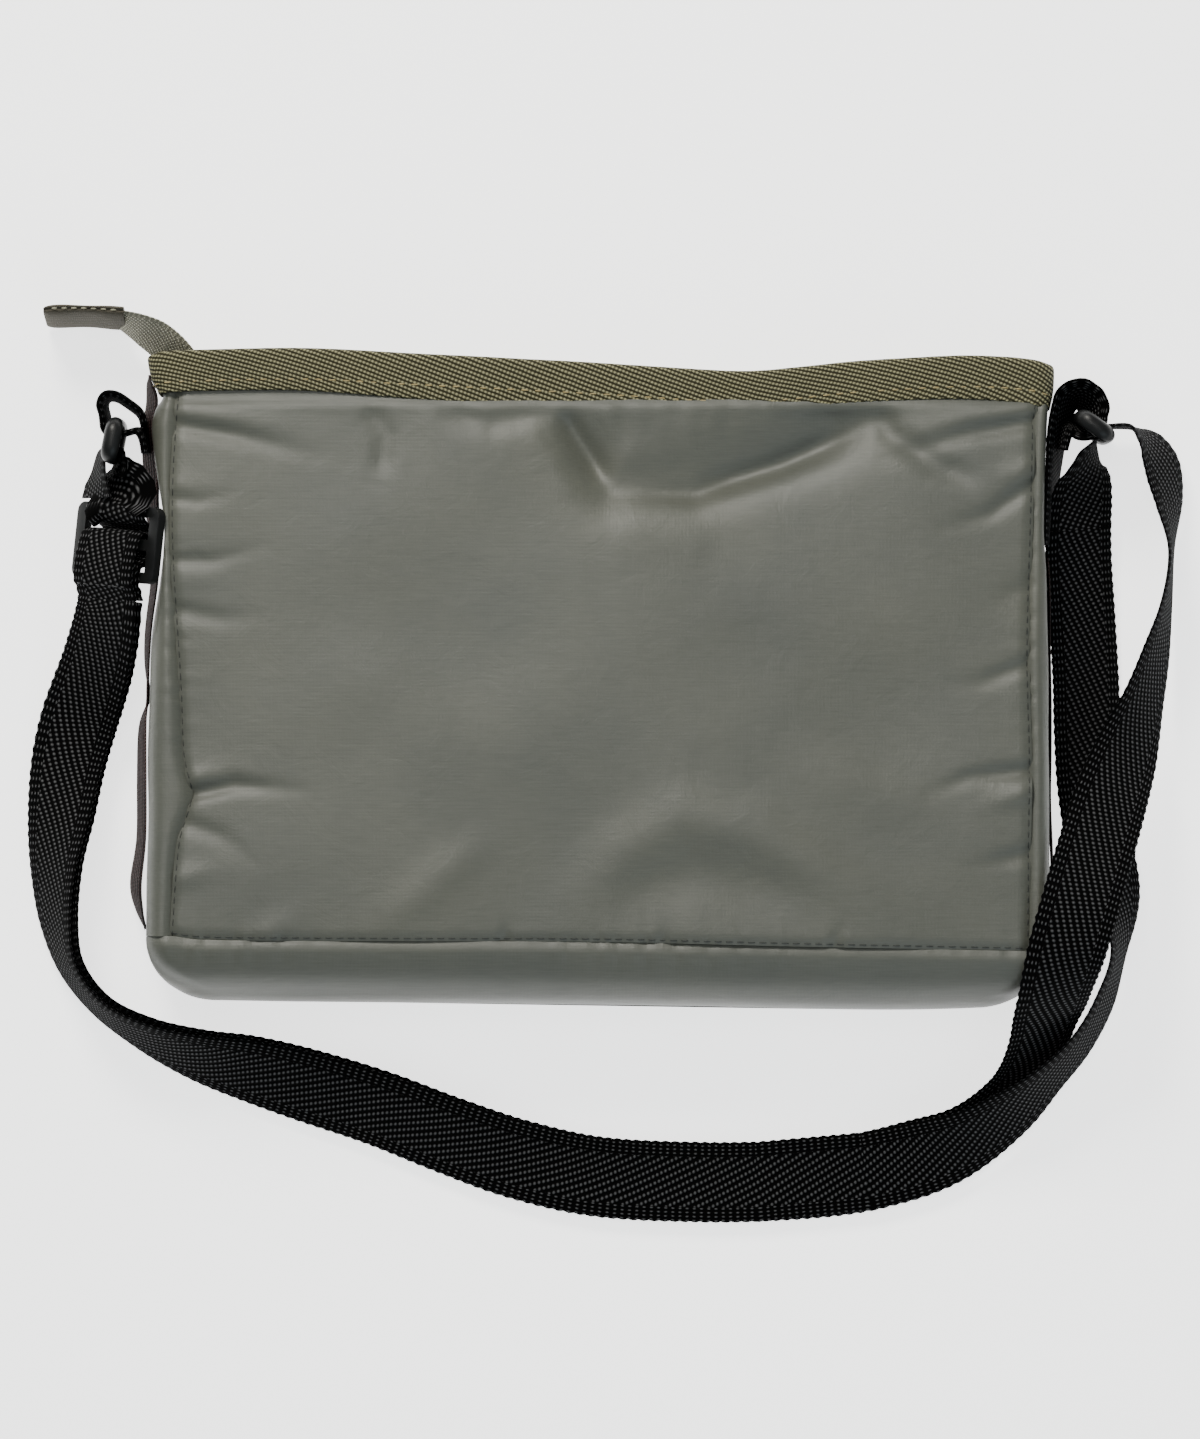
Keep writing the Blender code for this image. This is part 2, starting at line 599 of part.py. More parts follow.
def build_slide_buckle():
    """The three-bar slide that the strap's sewn end is fixed to."""
    bm = bmesh.new()
    add_box(bm, (-SLIDE_LENGTH / 2, -SLIDE_SPAN / 2, -SLIDE_THICK / 2),
            (SLIDE_LENGTH / 2, SLIDE_SPAN / 2, SLIDE_THICK / 2))
    upright = [edge for edge in bm.edges
               if abs(edge.verts[0].co.z - edge.verts[1].co.z) > SLIDE_THICK / 2]
    bmesh.ops.bevel(bm, geom=upright, offset=3.0 * MM, segments=4, profile=0.5, affect="EDGES")
    buckle = object_from_bmesh("slide_buckle", bm, "black_plastic")
    slot_length = (SLIDE_LENGTH - 3 * SLIDE_BAR) / 2
    slot_middle = (SLIDE_BAR + slot_length) / 2
    half_width = WEBBING / 2 + 0.8 * MM
    for index, sign in enumerate((-1, 1)):
        middle = sign * slot_middle
        low = (middle - slot_length / 2, -half_width, -SLIDE_THICK)
        high = (middle + slot_length / 2, half_width, SLIDE_THICK)
        tool = box_object(f"slot_tool_{index}", low, high, "black_plastic")
        tool.hide_render = True
        tool.display_type = "WIRE"
        tool.matrix_world = slide_frame()
        cut = buckle.modifiers.new(f"Slot {index}", "BOOLEAN")
        cut.operation = "DIFFERENCE"
        cut.object = tool
    buckle.matrix_world = slide_frame()


def slide_ribbon(name, profile):
    """A ribbon drawn in the buckle's side view: distance along the strap and height, in mm."""
    frame = slide_frame()
    across = (frame.to_3x3() @ Vector((0, 1, 0))).normalized()
    stations = [(frame @ (Vector((along, 0, height)) * MM), across) for along, height in profile]
    ribbon_object(name, stations, WEBBING, WEBBING_THICK, "strap_webbing")


def build_slide_webbing():
    """The strap's run over and under the bars, and its sewn end round the middle bar."""
    slide_ribbon("strap_through_slide", [
        (-12.2, 4.2), (-11.4, 3.0), (-8.6, 2.6), (-6.9, 1.2), (-5.9, -2.4), (-4.2, -5.2),
        (0.0, -5.6), (3.6, -5.2), (5.6, -2.6), (6.5, 0.4), (7.6, 2.0), (9.6, 2.3), (12.2, 2.1),
        (14.4, 0.6), (16.0, -0.4)])
    slide_ribbon("strap_sewn_end", [
        (11.6, 3.9), (8.4, 3.9), (6.4, 3.2), (4.8, 0.6), (3.6, -2.4), (1.6, -3.4), (-1.4, -3.4),
        (-3.0, -2.2), (-3.5, 0.0), (-3.1, 2.6), (-1.4, 4.0), (2.6, 5.0), (7.0, 5.6), (12.0, 5.6),
        (14.2, 3.8), (16.2, 2.1)])


def build_side_tapes():
    """Ribbed tapes tacked down the middle of each gusset, slack between the tacks."""
    runs = {
        "left": (-1, 12.0, [(93.0, 2.2), (80.0, 0.3), (78.0, 0.3), (66.0, 1.3), (54.0, 0.3),
                            (30.0, 1.6), (8.0, 1.7), (-2.0, 0.3), (-6.0, 0.3), (-22.0, 2.8),
                            (-36.0, 1.2), (-48.0, 1.6), (-62.0, 4.0), (-76.0, 0.4)]),
        "right": (1, 12.0, [(38.0, 0.1), (24.0, 0.4), (10.0, 0.1), (-6.0, 0.4), (-22.0, 0.4),
                            (-36.0, 0.1), (-52.0, 1.2), (-64.0, 1.2), (-76.0, 0.1)]),
    }
    for name, (side, z, run) in runs.items():
        points = []
        for y, slack in smooth_rows(run, 3):
            reach = SEAM_X + GAP + side_reach(y * MM, side)
            offset = reach + SIDE_TAPE_THICK / 2 + slack * MM
            points.append(Vector((side * offset, y * MM)))
        ribbon_object(f"side_tape_{name}", loop_stations(points, z * MM), SIDE_TAPE_WIDTH,
                      SIDE_TAPE_THICK, "side_tape")


def main():
    clear_scene()
    build_flat_panels()
    build_gussets()
    build_bottom_panel()
    build_rim_binding()
    build_zip_tapes()
    build_slider()
    build_pull()
    build_zip_tail()
    build_side_tapes()
    build_side_tabs()
    build_rings()
    build_ring_loops()
    build_slide_buckle()
    build_slide_webbing()
    build_strap()


main()
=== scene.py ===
"""Looks of a crossbody purse that lies on its front panel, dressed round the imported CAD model.

The bag is a shell of sewn nylon panels with a webbing-bound mouth. A doubled webbing strap runs
from ring to ring round its base, through a slide buckle. Lengths are metres, and the tables of
places are in millimetres.
"""
from __future__ import annotations

import logging
import math
from contextlib import contextmanager
from dataclasses import dataclass
from enum import Enum
from typing import Callable, Iterator

import bmesh
import bpy
import numpy as np
from mathutils import Matrix, Vector

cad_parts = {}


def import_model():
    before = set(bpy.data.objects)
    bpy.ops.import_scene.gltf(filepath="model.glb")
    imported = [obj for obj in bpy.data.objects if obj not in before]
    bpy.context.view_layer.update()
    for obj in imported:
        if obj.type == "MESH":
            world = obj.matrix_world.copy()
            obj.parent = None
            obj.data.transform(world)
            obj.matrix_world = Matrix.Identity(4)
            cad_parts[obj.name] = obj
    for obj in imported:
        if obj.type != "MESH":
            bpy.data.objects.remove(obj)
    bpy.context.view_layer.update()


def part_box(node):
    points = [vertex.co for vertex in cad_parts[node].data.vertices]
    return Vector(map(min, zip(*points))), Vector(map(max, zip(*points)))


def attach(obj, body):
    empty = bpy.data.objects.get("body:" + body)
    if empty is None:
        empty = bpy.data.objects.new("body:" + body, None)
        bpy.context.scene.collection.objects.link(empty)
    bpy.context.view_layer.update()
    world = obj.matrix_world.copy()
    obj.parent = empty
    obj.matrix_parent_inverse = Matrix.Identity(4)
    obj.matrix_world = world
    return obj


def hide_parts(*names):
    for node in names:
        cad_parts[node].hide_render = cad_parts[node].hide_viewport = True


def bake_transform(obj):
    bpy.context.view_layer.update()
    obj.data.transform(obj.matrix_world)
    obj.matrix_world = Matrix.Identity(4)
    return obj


LOG = logging.getLogger("purse")
MM = 0.001
Rows = list[tuple[float, ...]]
Place = Callable[[np.ndarray, np.ndarray], np.ndarray]


# ================================================================ driving sizes

WEBBING = 25.0 * MM
WEBBING_THICK = 1.3 * MM
LAYER_GAP = 2.6 * MM
SHELL_THICK = 0.7 * MM
SEAM_PITCH = 4.2 * MM
BASE_DEPTH = 46.0 * MM
BASE_SEAM_Y = -79.2 * MM
BASE_ROLL = 20.8 * MM
RIM_DEPTH = 28.0 * MM
RIM_Y = 100.8 * MM
SEAM_X = 131.4 * MM
SIDE_DEPTH = {-1: 7.8 * MM, 1: 5.4 * MM}
RIM_STEP = 1.4 * MM
RIM_COVER = 3.0 * MM
RIM_TAPER = 0.05
FLOOR_GAP = 0.1 * MM
SEAM_LAP = 1.2 * MM

SLIDE_PLACE = Vector((-148.0, 42.5, 24.0)) * MM
SLIDE_LEAN = math.radians(40)
SLIDE_HEADING = math.radians(-96)
SLIDE_SPAN = 34.0 * MM
SLIDE_LENGTH = 23.5 * MM
SLIDE_BAR = 3.4 * MM
SLOT_WIDTH = WEBBING + 1.6 * MM

# The strap's stations: x, y, z in millimetres and the webbing's lean in degrees.
SHARED_ROUTE: Rows = [
    (-149.7, 25.4, 23.6, 40), (-150.2, 21.0, 23.0, 39), (-151.6, 14.0, 20.0, 35),
    (-154.4, 4.5, 14.4, 28), (-157.6, -4.0, 9.6, 21), (-160.8, -13.0, 6.6, 18),
    (-163.6, -25.0, 6.6, 24), (-165.4, -41.0, 9.4, 36), (-166.5, -57.0, 12.0, 52),
    (-165.6, -73.0, 13.2, 64), (-161.8, -87.0, 13.6, 74), (-152.6, -98.8, 13.6, 76),
    (-139.5, -107.0, 13.4, 68), (-123.6, -113.5, 11.4, 53), (-108.3, -118.0, 9.0, 38),
    (-89.9, -123.8, 6.8, 27), (-68.4, -130.8, 6.0, 23), (-46.8, -139.3, 5.0, 18),
    (-25.3, -147.0, 3.2, 9), (-0.6, -152.6, 1.4, 0), (30.2, -154.2, 1.4, 0),
    (55.0, -153.8, 1.6, 1),
]
OUTER_ROUTE: Rows = [
    (78.0, -151.6, 2.4, 5), (96.5, -146.7, 4.2, 14), (111.5, -140.2, 7.6, 32),
    (122.5, -131.0, 10.0, 42), (130.8, -118.8, 15.0, 50), (135.4, -105.6, 27.6, 48),
    (138.0, -95.0, 39.6, 32), (141.2, -82.0, 46.4, 13), (145.4, -67.6, 45.2, 11),
    (150.4, -51.4, 38.0, 14), (155.4, -36.2, 30.5, 20), (161.2, -20.9, 23.0, 36),
    (166.4, -5.6, 18.5, 56), (170.6, 9.8, 15.0, 68), (173.6, 25.1, 13.6, 80),
    (174.9, 40.5, 13.8, 84), (174.4, 54.3, 15.0, 68), (172.2, 65.0, 16.4, 60),
    (168.8, 72.0, 17.2, 66), (165.6, 75.6, 17.5, 78),
]
INNER_ROUTE: Rows = [
    (78.0, -151.6, 5.1, 5), (96.5, -147.2, 7.2, 16), (112.0, -141.2, 11.0, 36),
    (125.4, -132.5, 13.0, 50), (136.4, -122.8, 14.8, 64), (146.8, -111.6, 15.4, 70),
    (154.4, -98.0, 15.2, 73), (158.6, -83.0, 14.0, 76), (158.2, -67.6, 12.2, 54),
    (153.6, -51.7, 8.6, 33), (150.8, -33.3, 7.6, 28), (149.4, -14.8, 7.8, 30),
    (148.9, 0.6, 8.0, 31), (147.8, 19.1, 8.8, 31), (146.6, 36.0, 10.5, 31),
    (146.4, 47.0, 13.0, 33), (147.0, 55.0, 14.8, 37), (148.0, 61.5, 16.2, 46),
]
RING_Z = 17.5 * MM
RING_BARS = {
    "left": (Vector((-148.6, 78.8, 17.5)) * MM, Vector((-150.6, 68.9, 17.5)) * MM),
    "right": (Vector((146.7, 80.9, 17.5)) * MM, Vector((154.6, 75.1, 17.5)) * MM),
}
RING_BAR_RADIUS = 2.2 * MM
RING_LONG = 35.0 * MM
BAR_WRAP = 3.15 * MM
PER_SPAN = 16
WELD = 1e-6
CLOSE_WELD = 2e-6


# ================================================================ mesh helpers

def select_only(obj: bpy.types.Object) -> None:
    """Deselect everything, then select one object and make it active."""
    bpy.ops.object.select_all(action="DESELECT")
    obj.select_set(True)
    bpy.context.view_layer.objects.active = obj


@contextmanager
def editing(obj: bpy.types.Object) -> Iterator[None]:
    """Edit mode on one object with its whole mesh selected, then object mode again."""
    select_only(obj)
    bpy.ops.object.mode_set(mode="EDIT")
    bpy.ops.mesh.select_all(action="SELECT")
    yield
    bpy.ops.object.mode_set(mode="OBJECT")


def apply_modifiers(obj: bpy.types.Object) -> None:
    """Apply every modifier on an object, in order."""
    select_only(obj)
    for modifier in list(obj.modifiers):
        bpy.ops.object.modifier_apply(modifier=modifier.name)


def smooth(obj: bpy.types.Object, angle: float = 40) -> None:
    """Shade an object smooth up to an angle in degrees."""
    select_only(obj)
    bpy.ops.object.shade_smooth_by_angle(angle=math.radians(angle))


def shaped_grid(name: str, columns: int, rows: int, place: Place, chart: Place,
                wrap: bool = False) -> bpy.types.Object:
    """Add a grid and lay it onto a surface.

    Args:
        name: the piece's name.
        columns: faces along s.
        rows: faces along t.
        place: gives the points for arrays of s and t, each from 0 to 1.
        chart: gives the texture places for the same arrays, in millimetres.
        wrap: whether t closes on itself, so that the piece is a tube with its ends filled.

    Returns:
        The new object, with its place in its mesh.
    """
    bpy.ops.object.select_all(action="DESELECT")
    bpy.ops.mesh.primitive_grid_add(x_subdivisions=columns, y_subdivisions=rows, size=2)
    obj = bpy.context.object
    obj.name = name
    mesh = obj.data
    mesh.name = name
    count = len(mesh.vertices)
    flat = np.empty(count * 3)
    mesh.vertices.foreach_get("co", flat)
    s = np.clip((flat[0::3] + 1) / 2, 0, 1)
    t = np.clip((flat[1::3] + 1) / 2, 0, 1)
    mesh.vertices.foreach_set("co", place(s, t).astype(float).ravel())
    corner = np.empty(len(mesh.loops), dtype=int)
    mesh.loops.foreach_get("vertex_index", corner)
    mesh.uv_layers[0].data.foreach_set("uv", chart(s, t)[corner].ravel())
    mesh.update()
    if wrap:
        close_tube(obj)
    return obj


def close_tube(obj: bpy.types.Object) -> None:
    """Merge a wrapped grid's seam, fill its two ends and turn its faces outwards."""
    with editing(obj):
        bpy.ops.mesh.remove_doubles(threshold=WELD)
        bpy.ops.mesh.fill_holes(sides=0)
        bpy.ops.mesh.select_all(action="SELECT")
        bpy.ops.mesh.normals_make_consistent(inside=False)


def face_along(obj: bpy.types.Object, direction: Vector) -> None:
    """Flip an open panel if its faces look against a direction on the whole."""
    total = sum((face.normal * face.area for face in obj.data.polygons), Vector())
    if total.dot(direction) < 0:
        obj.data.flip_normals()


def thicken(obj: bpy.types.Object, thick: float) -> None:
    """Give an open panel its thickness on the inner side and shade it."""
    wall = obj.modifiers.new("Thickness", "SOLIDIFY")
    wall.thickness = thick
    wall.offset = -1
    apply_modifiers(obj)
    smooth(obj, 60)


def catmull(rows: np.ndarray, per_span: int) -> np.ndarray:
    """Smooth curve through rows of numbers, both ends included."""
    padded = np.vstack([rows[0], rows, rows[-1]])
    result = []
    for index in range(1, len(padded) - 2):
        p0, p1, p2, p3 = padded[index - 1:index + 3]
        for t in np.arange(per_span) / per_span:
            result.append(0.5 * (2 * p1 + (p2 - p0) * t + (2 * p0 - 5 * p1 + 4 * p2 - p3) * t ** 2
                                 + (3 * p1 - p0 - 3 * p2 + p3) * t ** 3))
    result.append(rows[-1])
    return np.array(result)


def object_from(bm: bmesh.types.BMesh, name: str) -> bpy.types.Object:
    """Turn a bmesh into a linked object, shaded smooth."""
    mesh = bpy.data.meshes.new(name)
    bm.to_mesh(mesh)
    bm.free()
    obj = bpy.data.objects.new(name, mesh)
    bpy.context.scene.collection.objects.link(obj)
    smooth(obj, 80)
    return obj


def distances(path: np.ndarray) -> np.ndarray:
    """How far along a path each of its points is."""
    return np.concatenate([[0], np.cumsum(np.linalg.norm(np.diff(path, axis=0), axis=1))])


def read_rows(wanted: np.ndarray, lengths: np.ndarray, rows: np.ndarray) -> np.ndarray:
    """Read rows of three numbers at wanted distances along a path."""
    return np.stack([np.interp(wanted, lengths, rows[:, k]) for k in range(3)], axis=-1)


def even_chart(along: float, around: float) -> Place:
    """Texture places spread evenly over a grid, from its two sizes in millimetres."""
    def chart(s: np.ndarray, t: np.ndarray) -> np.ndarray:
        """Texture places in millimetres."""
        return np.stack([s * along, t * around], axis=1)

    return chart


def rounded_outline(share: np.ndarray, right: np.ndarray, left: np.ndarray, half: np.ndarray,
                    radius: np.ndarray) -> tuple[np.ndarray, np.ndarray, np.ndarray]:
    """Place on a rounded rectangle about z = 0 that starts mid-right and goes over the top.

    Args:
        share: how far round, from 0 to 1.
        right: its reach to the right.
        left: its reach to the left.
        half: half its height.
        radius: its corners' radius.

    Returns:
        The place's x and z, and the distance round.
    """
    quarter = math.pi / 2
    long_side, short_side = right + left - 2 * radius, 2 * (half - radius)
    run = share * (2 * long_side + 2 * short_side + 4 * quarter * radius)
    x, z = right + 0 * run, 1.0 * run
    begin = short_side / 2
    corners = ((right - radius, half - radius), (radius - left, half - radius),
               (radius - left, radius - half), (right - radius, radius - half))
    straights = (long_side, short_side, long_side, short_side / 2)
    for index, ((centre_x, centre_z), straight) in enumerate(zip(corners, straights)):
        angle = np.clip((run - begin) / radius, 0, quarter) + index * quarter
        ahead = np.clip(run - begin - quarter * radius, 0, straight)
        heading = (index + 2) * quarter
        reached = run >= begin
        x = np.where(reached, centre_x + radius * np.cos(angle) + ahead * math.cos(heading), x)
        z = np.where(reached, centre_z + radius * np.sin(angle) + ahead * math.sin(heading), z)
        begin = begin + quarter * radius + straight
    return x, z, run


def unit(vectors: np.ndarray) -> np.ndarray:
    """Scale each row to length one."""
    return vectors / np.maximum(np.linalg.norm(vectors, axis=-1, keepdims=True), 1e-9)


def arc(centre: Vector, radius: float, first: float, last: float, count: int) -> list[Vector]:
    """Points of an arc about Z, with its angles in degrees."""
    return [centre + Vector((math.cos(a), math.sin(a), 0)) * radius
            for a in np.radians(np.linspace(first, last, count))]


def mm_points(*pairs: tuple[float, float], z: float = RING_Z) -> list[Vector]:
    """Points at one height from pairs of x and y in millimetres."""
    return [Vector((x * MM, y * MM, z)) for x, y in pairs]


def smoothstep(low: float, high: float, values: np.ndarray) -> np.ndarray:
    """Ease from 0 at low to 1 at high."""
    share = np.clip((values - low) / (high - low), 0, 1)
    return share * share * (3 - 2 * share)


def curve_through(places: list[tuple[float, float]], values: np.ndarray) -> np.ndarray:
    """Read a smooth curve through (place, value) pairs in millimetres, at places in metres.

    Args:
        places: the pairs, in rising order of place.
        values: where to read the curve.

    Returns:
        The curve's values, in metres.
    """
    dense = catmull(np.array(places, float), 12)
    return np.interp(np.asarray(values) / MM, dense[:, 0], dense[:, 1]) * MM


# ================================================================ materials

class Wiring:
    """Adds and links the nodes of one shader tree."""

    def __init__(self, tree: bpy.types.NodeTree) -> None:
        """Start on a tree."""
        self.tree = tree

    def node(self, kind: str, inputs: dict | None = None, **options: object) -> bpy.types.Node:
        """Add a node.

        Args:
            kind: the node's type, without the ShaderNode prefix.
            inputs: values or sockets for its inputs, by name or number.
            **options: the node's own settings.

        Returns:
            The new node.
        """
        made = self.tree.nodes.new("ShaderNode" + kind)
        for key, value in options.items():
            setattr(made, key, value)
        for key, value in (inputs or {}).items():
            socket = made.inputs[key]
            if isinstance(value, bpy.types.NodeSocket):
                self.tree.links.new(value, socket)
            else:
                socket.default_value = value
        return made

    def math(self, operation: str, *values: object) -> bpy.types.NodeSocket:
        """Add a Math node and return its result."""
        return self.node("Math", dict(enumerate(values)), operation=operation).outputs[0]

    def wave(self, value: object, pitch: object) -> bpy.types.NodeSocket:
        """A wave from 0 to 1 that repeats every pitch."""
        turns = self.math("DIVIDE", value, pitch)
        turned = self.math("SINE", self.math("MULTIPLY", turns, 2 * math.pi))
        return self.math("MULTIPLY_ADD", turned, 0.5, 0.5)

    def ramp(self, factor: object, *stops: tuple[float, tuple[float, ...]]) -> bpy.types.NodeSocket:
        """A colour ramp with (place, colour) stops."""
        made = self.node("ValToRGB", {"Fac": factor})
        elements = made.color_ramp.elements
        while len(elements) < len(stops):
            elements.new(1.0)
        for element, (place, colour) in zip(elements, stops):
            element.position = place
            element.color = (*colour, 1.0)
        return made.outputs["Color"]


def new_material(name: str) -> tuple[bpy.types.Material, Wiring, bpy.types.Node]:
    """Start a material.

    Returns:
        The material, its wiring and its shader.
    """
    material = bpy.data.materials.new(name)
    material.use_nodes = True
    tree = material.node_tree
    return material, Wiring(tree), tree.nodes["Principled BSDF"]


def new_group(name: str, inputs: dict[str, float | None], outputs: list[str]) -> tuple:
    """Make a node group whose inputs are values, or vectors where the default is None.

    Returns:
        The group, its wiring, and the sockets of its input and output nodes.
    """
    group = bpy.data.node_groups.new(name, "ShaderNodeTree")
    for label, default in inputs.items():
        kind = "NodeSocketVector" if default is None else "NodeSocketFloat"
        socket = group.interface.new_socket(name=label, in_out="INPUT", socket_type=kind)
        if default is not None:
            socket.default_value = default
    for label in outputs:
        group.interface.new_socket(name=label, in_out="OUTPUT", socket_type="NodeSocketFloat")
    wires = Wiring(group)
    start = group.nodes.new("NodeGroupInput").outputs
    end = group.nodes.new("NodeGroupOutput").inputs
    return group, wires, start, end


def herringbone_group() -> bpy.types.NodeTree:
    """Woven webbing: slanted ribs of short grains over the middle, with dotted edges."""
    group, w, start, end = new_group(
        "Herringbone", {"Place": None, "Half Width": 12.5, "Rib Pitch": 1.7, "Slant": 1.5,
                        "Edge": 3.4, "Yarn": 0.9}, ["Height", "Glint"])
    split = w.node("SeparateXYZ", {0: start["Place"]}).outputs
    along, across = split[0], split[1]
    from_middle = w.math("ABSOLUTE", across)
    slanted = w.math("SUBTRACT", along, w.math("MULTIPLY", across, start["Slant"]))
    rib = w.wave(slanted, start["Rib Pitch"])
    yarn = w.wave(w.math("MULTIPLY_ADD", across, 0.3, along), start["Yarn"])
    middle = w.math("MULTIPLY", w.math("POWER", rib, 0.8), w.math("MULTIPLY_ADD", yarn, 0.6, 0.4))
    dots = w.math("MULTIPLY", w.wave(along, w.math("MULTIPLY", start["Yarn"], 1.5)),
                  w.wave(across, w.math("MULTIPLY", start["Yarn"], 0.85)))
    edge_from = w.math("SUBTRACT", start["Half Width"], start["Edge"])
    at_edge = w.math("GREATER_THAN", from_middle, edge_from)
    height = w.node("Mix", {0: at_edge, 2: middle, 3: dots}).outputs[0]
    w.tree.links.new(height, end["Height"])
    # Glint: painted highlight on the raised yarns and painted shade in the gaps, through the
    # finish's colour.
    w.tree.links.new(w.math("POWER", height, 2.2), end["Glint"])
    return group


def twill_group() -> bpy.types.NodeTree:
    """Coarse twill: short grains in rows that climb, with the gap after each grain darker as
    painted shade.
    """
    group, w, start, end = new_group(
        "Twill", {"Place": None, "Grain Pitch": 0.87, "Row Pitch": 1.3, "Climb": 0.3,
                  "Wander": 0.25}, ["Height", "Glint"])
    wander = w.node("TexNoise", {"Vector": start["Place"], "Scale": 0.35, "Detail": 1.0})
    bent = w.math("MULTIPLY", w.math("SUBTRACT", wander.outputs[0], 0.5), start["Wander"])
    split = w.node("SeparateXYZ", {0: start["Place"]}).outputs
    along, across = split[0], w.math("ADD", split[1], bent)
    rows = w.math("SUBTRACT", across, w.math("MULTIPLY", along, start["Climb"]))
    row = w.wave(rows, start["Row Pitch"])
    grain = w.wave(w.math("MULTIPLY_ADD", across, 0.45, along), start["Grain Pitch"])
    height = w.math("MULTIPLY", w.math("POWER", row, 0.8), w.math("MULTIPLY_ADD", grain, 0.6, 0.4))
    w.tree.links.new(height, end["Height"])
    # Glint: painted highlight on the raised grains and painted shade in the gaps, through the
    # finish's colour.
    w.tree.links.new(w.math("POWER", height, 1.25), end["Glint"])
    return group


def fine_weave_group() -> bpy.types.NodeTree:
    """Close plain weave with slubs that run one way, for nylon cloth."""
    group, w, start, end = new_group(
        "Fine Weave", {"Place": None, "Pitch": 0.42, "Slub": 1.0}, ["Height", "Slubs"])
    split = w.node("SeparateXYZ", {0: start["Place"]}).outputs
    weave = w.math("MULTIPLY", w.wave(split[0], start["Pitch"]), w.wave(split[1], start["Pitch"]))
    stretched = w.node("Mapping", {"Vector": start["Place"], "Scale": (0.12, 2.4, 1.0)})
    slubs = w.node("TexNoise", {"Vector": stretched.outputs[0], "Scale": start["Slub"],
                                "Detail": 3.0}).outputs[0]
    w.tree.links.new(w.math("MULTIPLY_ADD", slubs, 0.5, weave), end["Height"])
    w.tree.links.new(slubs, end["Slubs"])
    return group


def tone_and_sheen_group() -> bpy.types.NodeTree:
    """Broad soft random patches of tone, which the cloth finishes also use as painted sheen and
    shade.
    """
    group, w, start, end = new_group("Tone", {"Place": None, "Size": 40.0}, ["Patch"])
    scale = w.math("DIVIDE", 1.0, start["Size"])
    noise = w.node("TexNoise", {"Vector": start["Place"], "Scale": scale, "Detail": 3.0})
    w.tree.links.new(noise.outputs[0], end["Patch"])
    return group


class Coords(Enum):
    """Where a finish reads its pattern's place."""

    CHART = "uv"
    OBJECT = "object"


class Weave(Enum):
    """The pattern groups that a finish can use."""

    HERRINGBONE = "Herringbone"
    TWILL = "Twill"
    FINE = "Fine Weave"


@dataclass(frozen=True)
class ClothFinish:
    """A woven finish: a pattern group, its colours and its sheen."""

    name: str
    weave: Weave
    low: tuple[float, float, float]
    high: tuple[float, float, float]
    roughness: float
    bump: float
    settings: tuple[tuple[str, float], ...] = ()
    coords: Coords = Coords.CHART
    tone_and_sheen: float = 0.12
    specular: float = 0.5
    crumple: float = 0.0

    def make(self) -> bpy.types.Material:
        """Build the material's nodes."""
        material, w, shader = new_material(self.name)
        place = w.node("TexCoord").outputs["UV" if self.coords is Coords.CHART else "Object"]
        if self.coords is Coords.OBJECT:
            place = w.node("Mapping", {"Vector": place, "Scale": (1000.0,) * 3}).outputs[0]
        pattern = w.node("Group", node_tree=bpy.data.node_groups[self.weave.value])
        w.tree.links.new(place, pattern.inputs["Place"])
        for label, value in self.settings:
            pattern.inputs[label].default_value = value
        tone = w.node("Group", node_tree=bpy.data.node_groups["Tone"])
        w.tree.links.new(place, tone.inputs["Place"])
        height, light = pattern.outputs["Height"], pattern.outputs[1]
        # The colour follows the glint: the yarn's colour, with a painted highlight on raised yarns
        # and painted shade in the gaps; for the fine weave it follows the slubs, the yarn's own
        # tone.
        woven = w.ramp(light, (0.12, self.low), (0.85, self.high))
        # Random tone with painted sheen and shade: broad patches darken and lighten the colour,
        # bluer where darker and warmer where lighter.
        shade = w.math("MULTIPLY_ADD", tone.outputs[0], self.tone_and_sheen * 2, 1 - self.tone_and_sheen)
        tint = w.node("CombineColor", {0: shade, 1: w.math("POWER", shade, 0.85),
                                       2: w.math("POWER", shade, 0.6)})
        colour = w.node("Mix", {0: 1.0, 6: woven, 7: tint.outputs[0]}, data_type="RGBA",
                        blend_type="MULTIPLY")
        w.tree.links.new(colour.outputs[2], shader.inputs["Base Color"])
        rough = w.math("MULTIPLY_ADD", height, -0.1, self.roughness + 0.05)
        w.tree.links.new(rough, shader.inputs["Roughness"])
        if self.crumple:
            creased = w.node("TexNoise", {"Vector": place, "Scale": 0.085, "Detail": 5.0,
                                          "Roughness": 0.6, "Distortion": 0.8}).outputs[0]
            height = w.math("MULTIPLY_ADD", creased, self.crumple, height)
        bump = w.node("Bump", {"Height": height, "Strength": 0.9, "Distance": self.bump})
        w.tree.links.new(bump.outputs[0], shader.inputs["Normal"])
        shader.inputs["Specular IOR Level"].default_value = self.specular
        return material


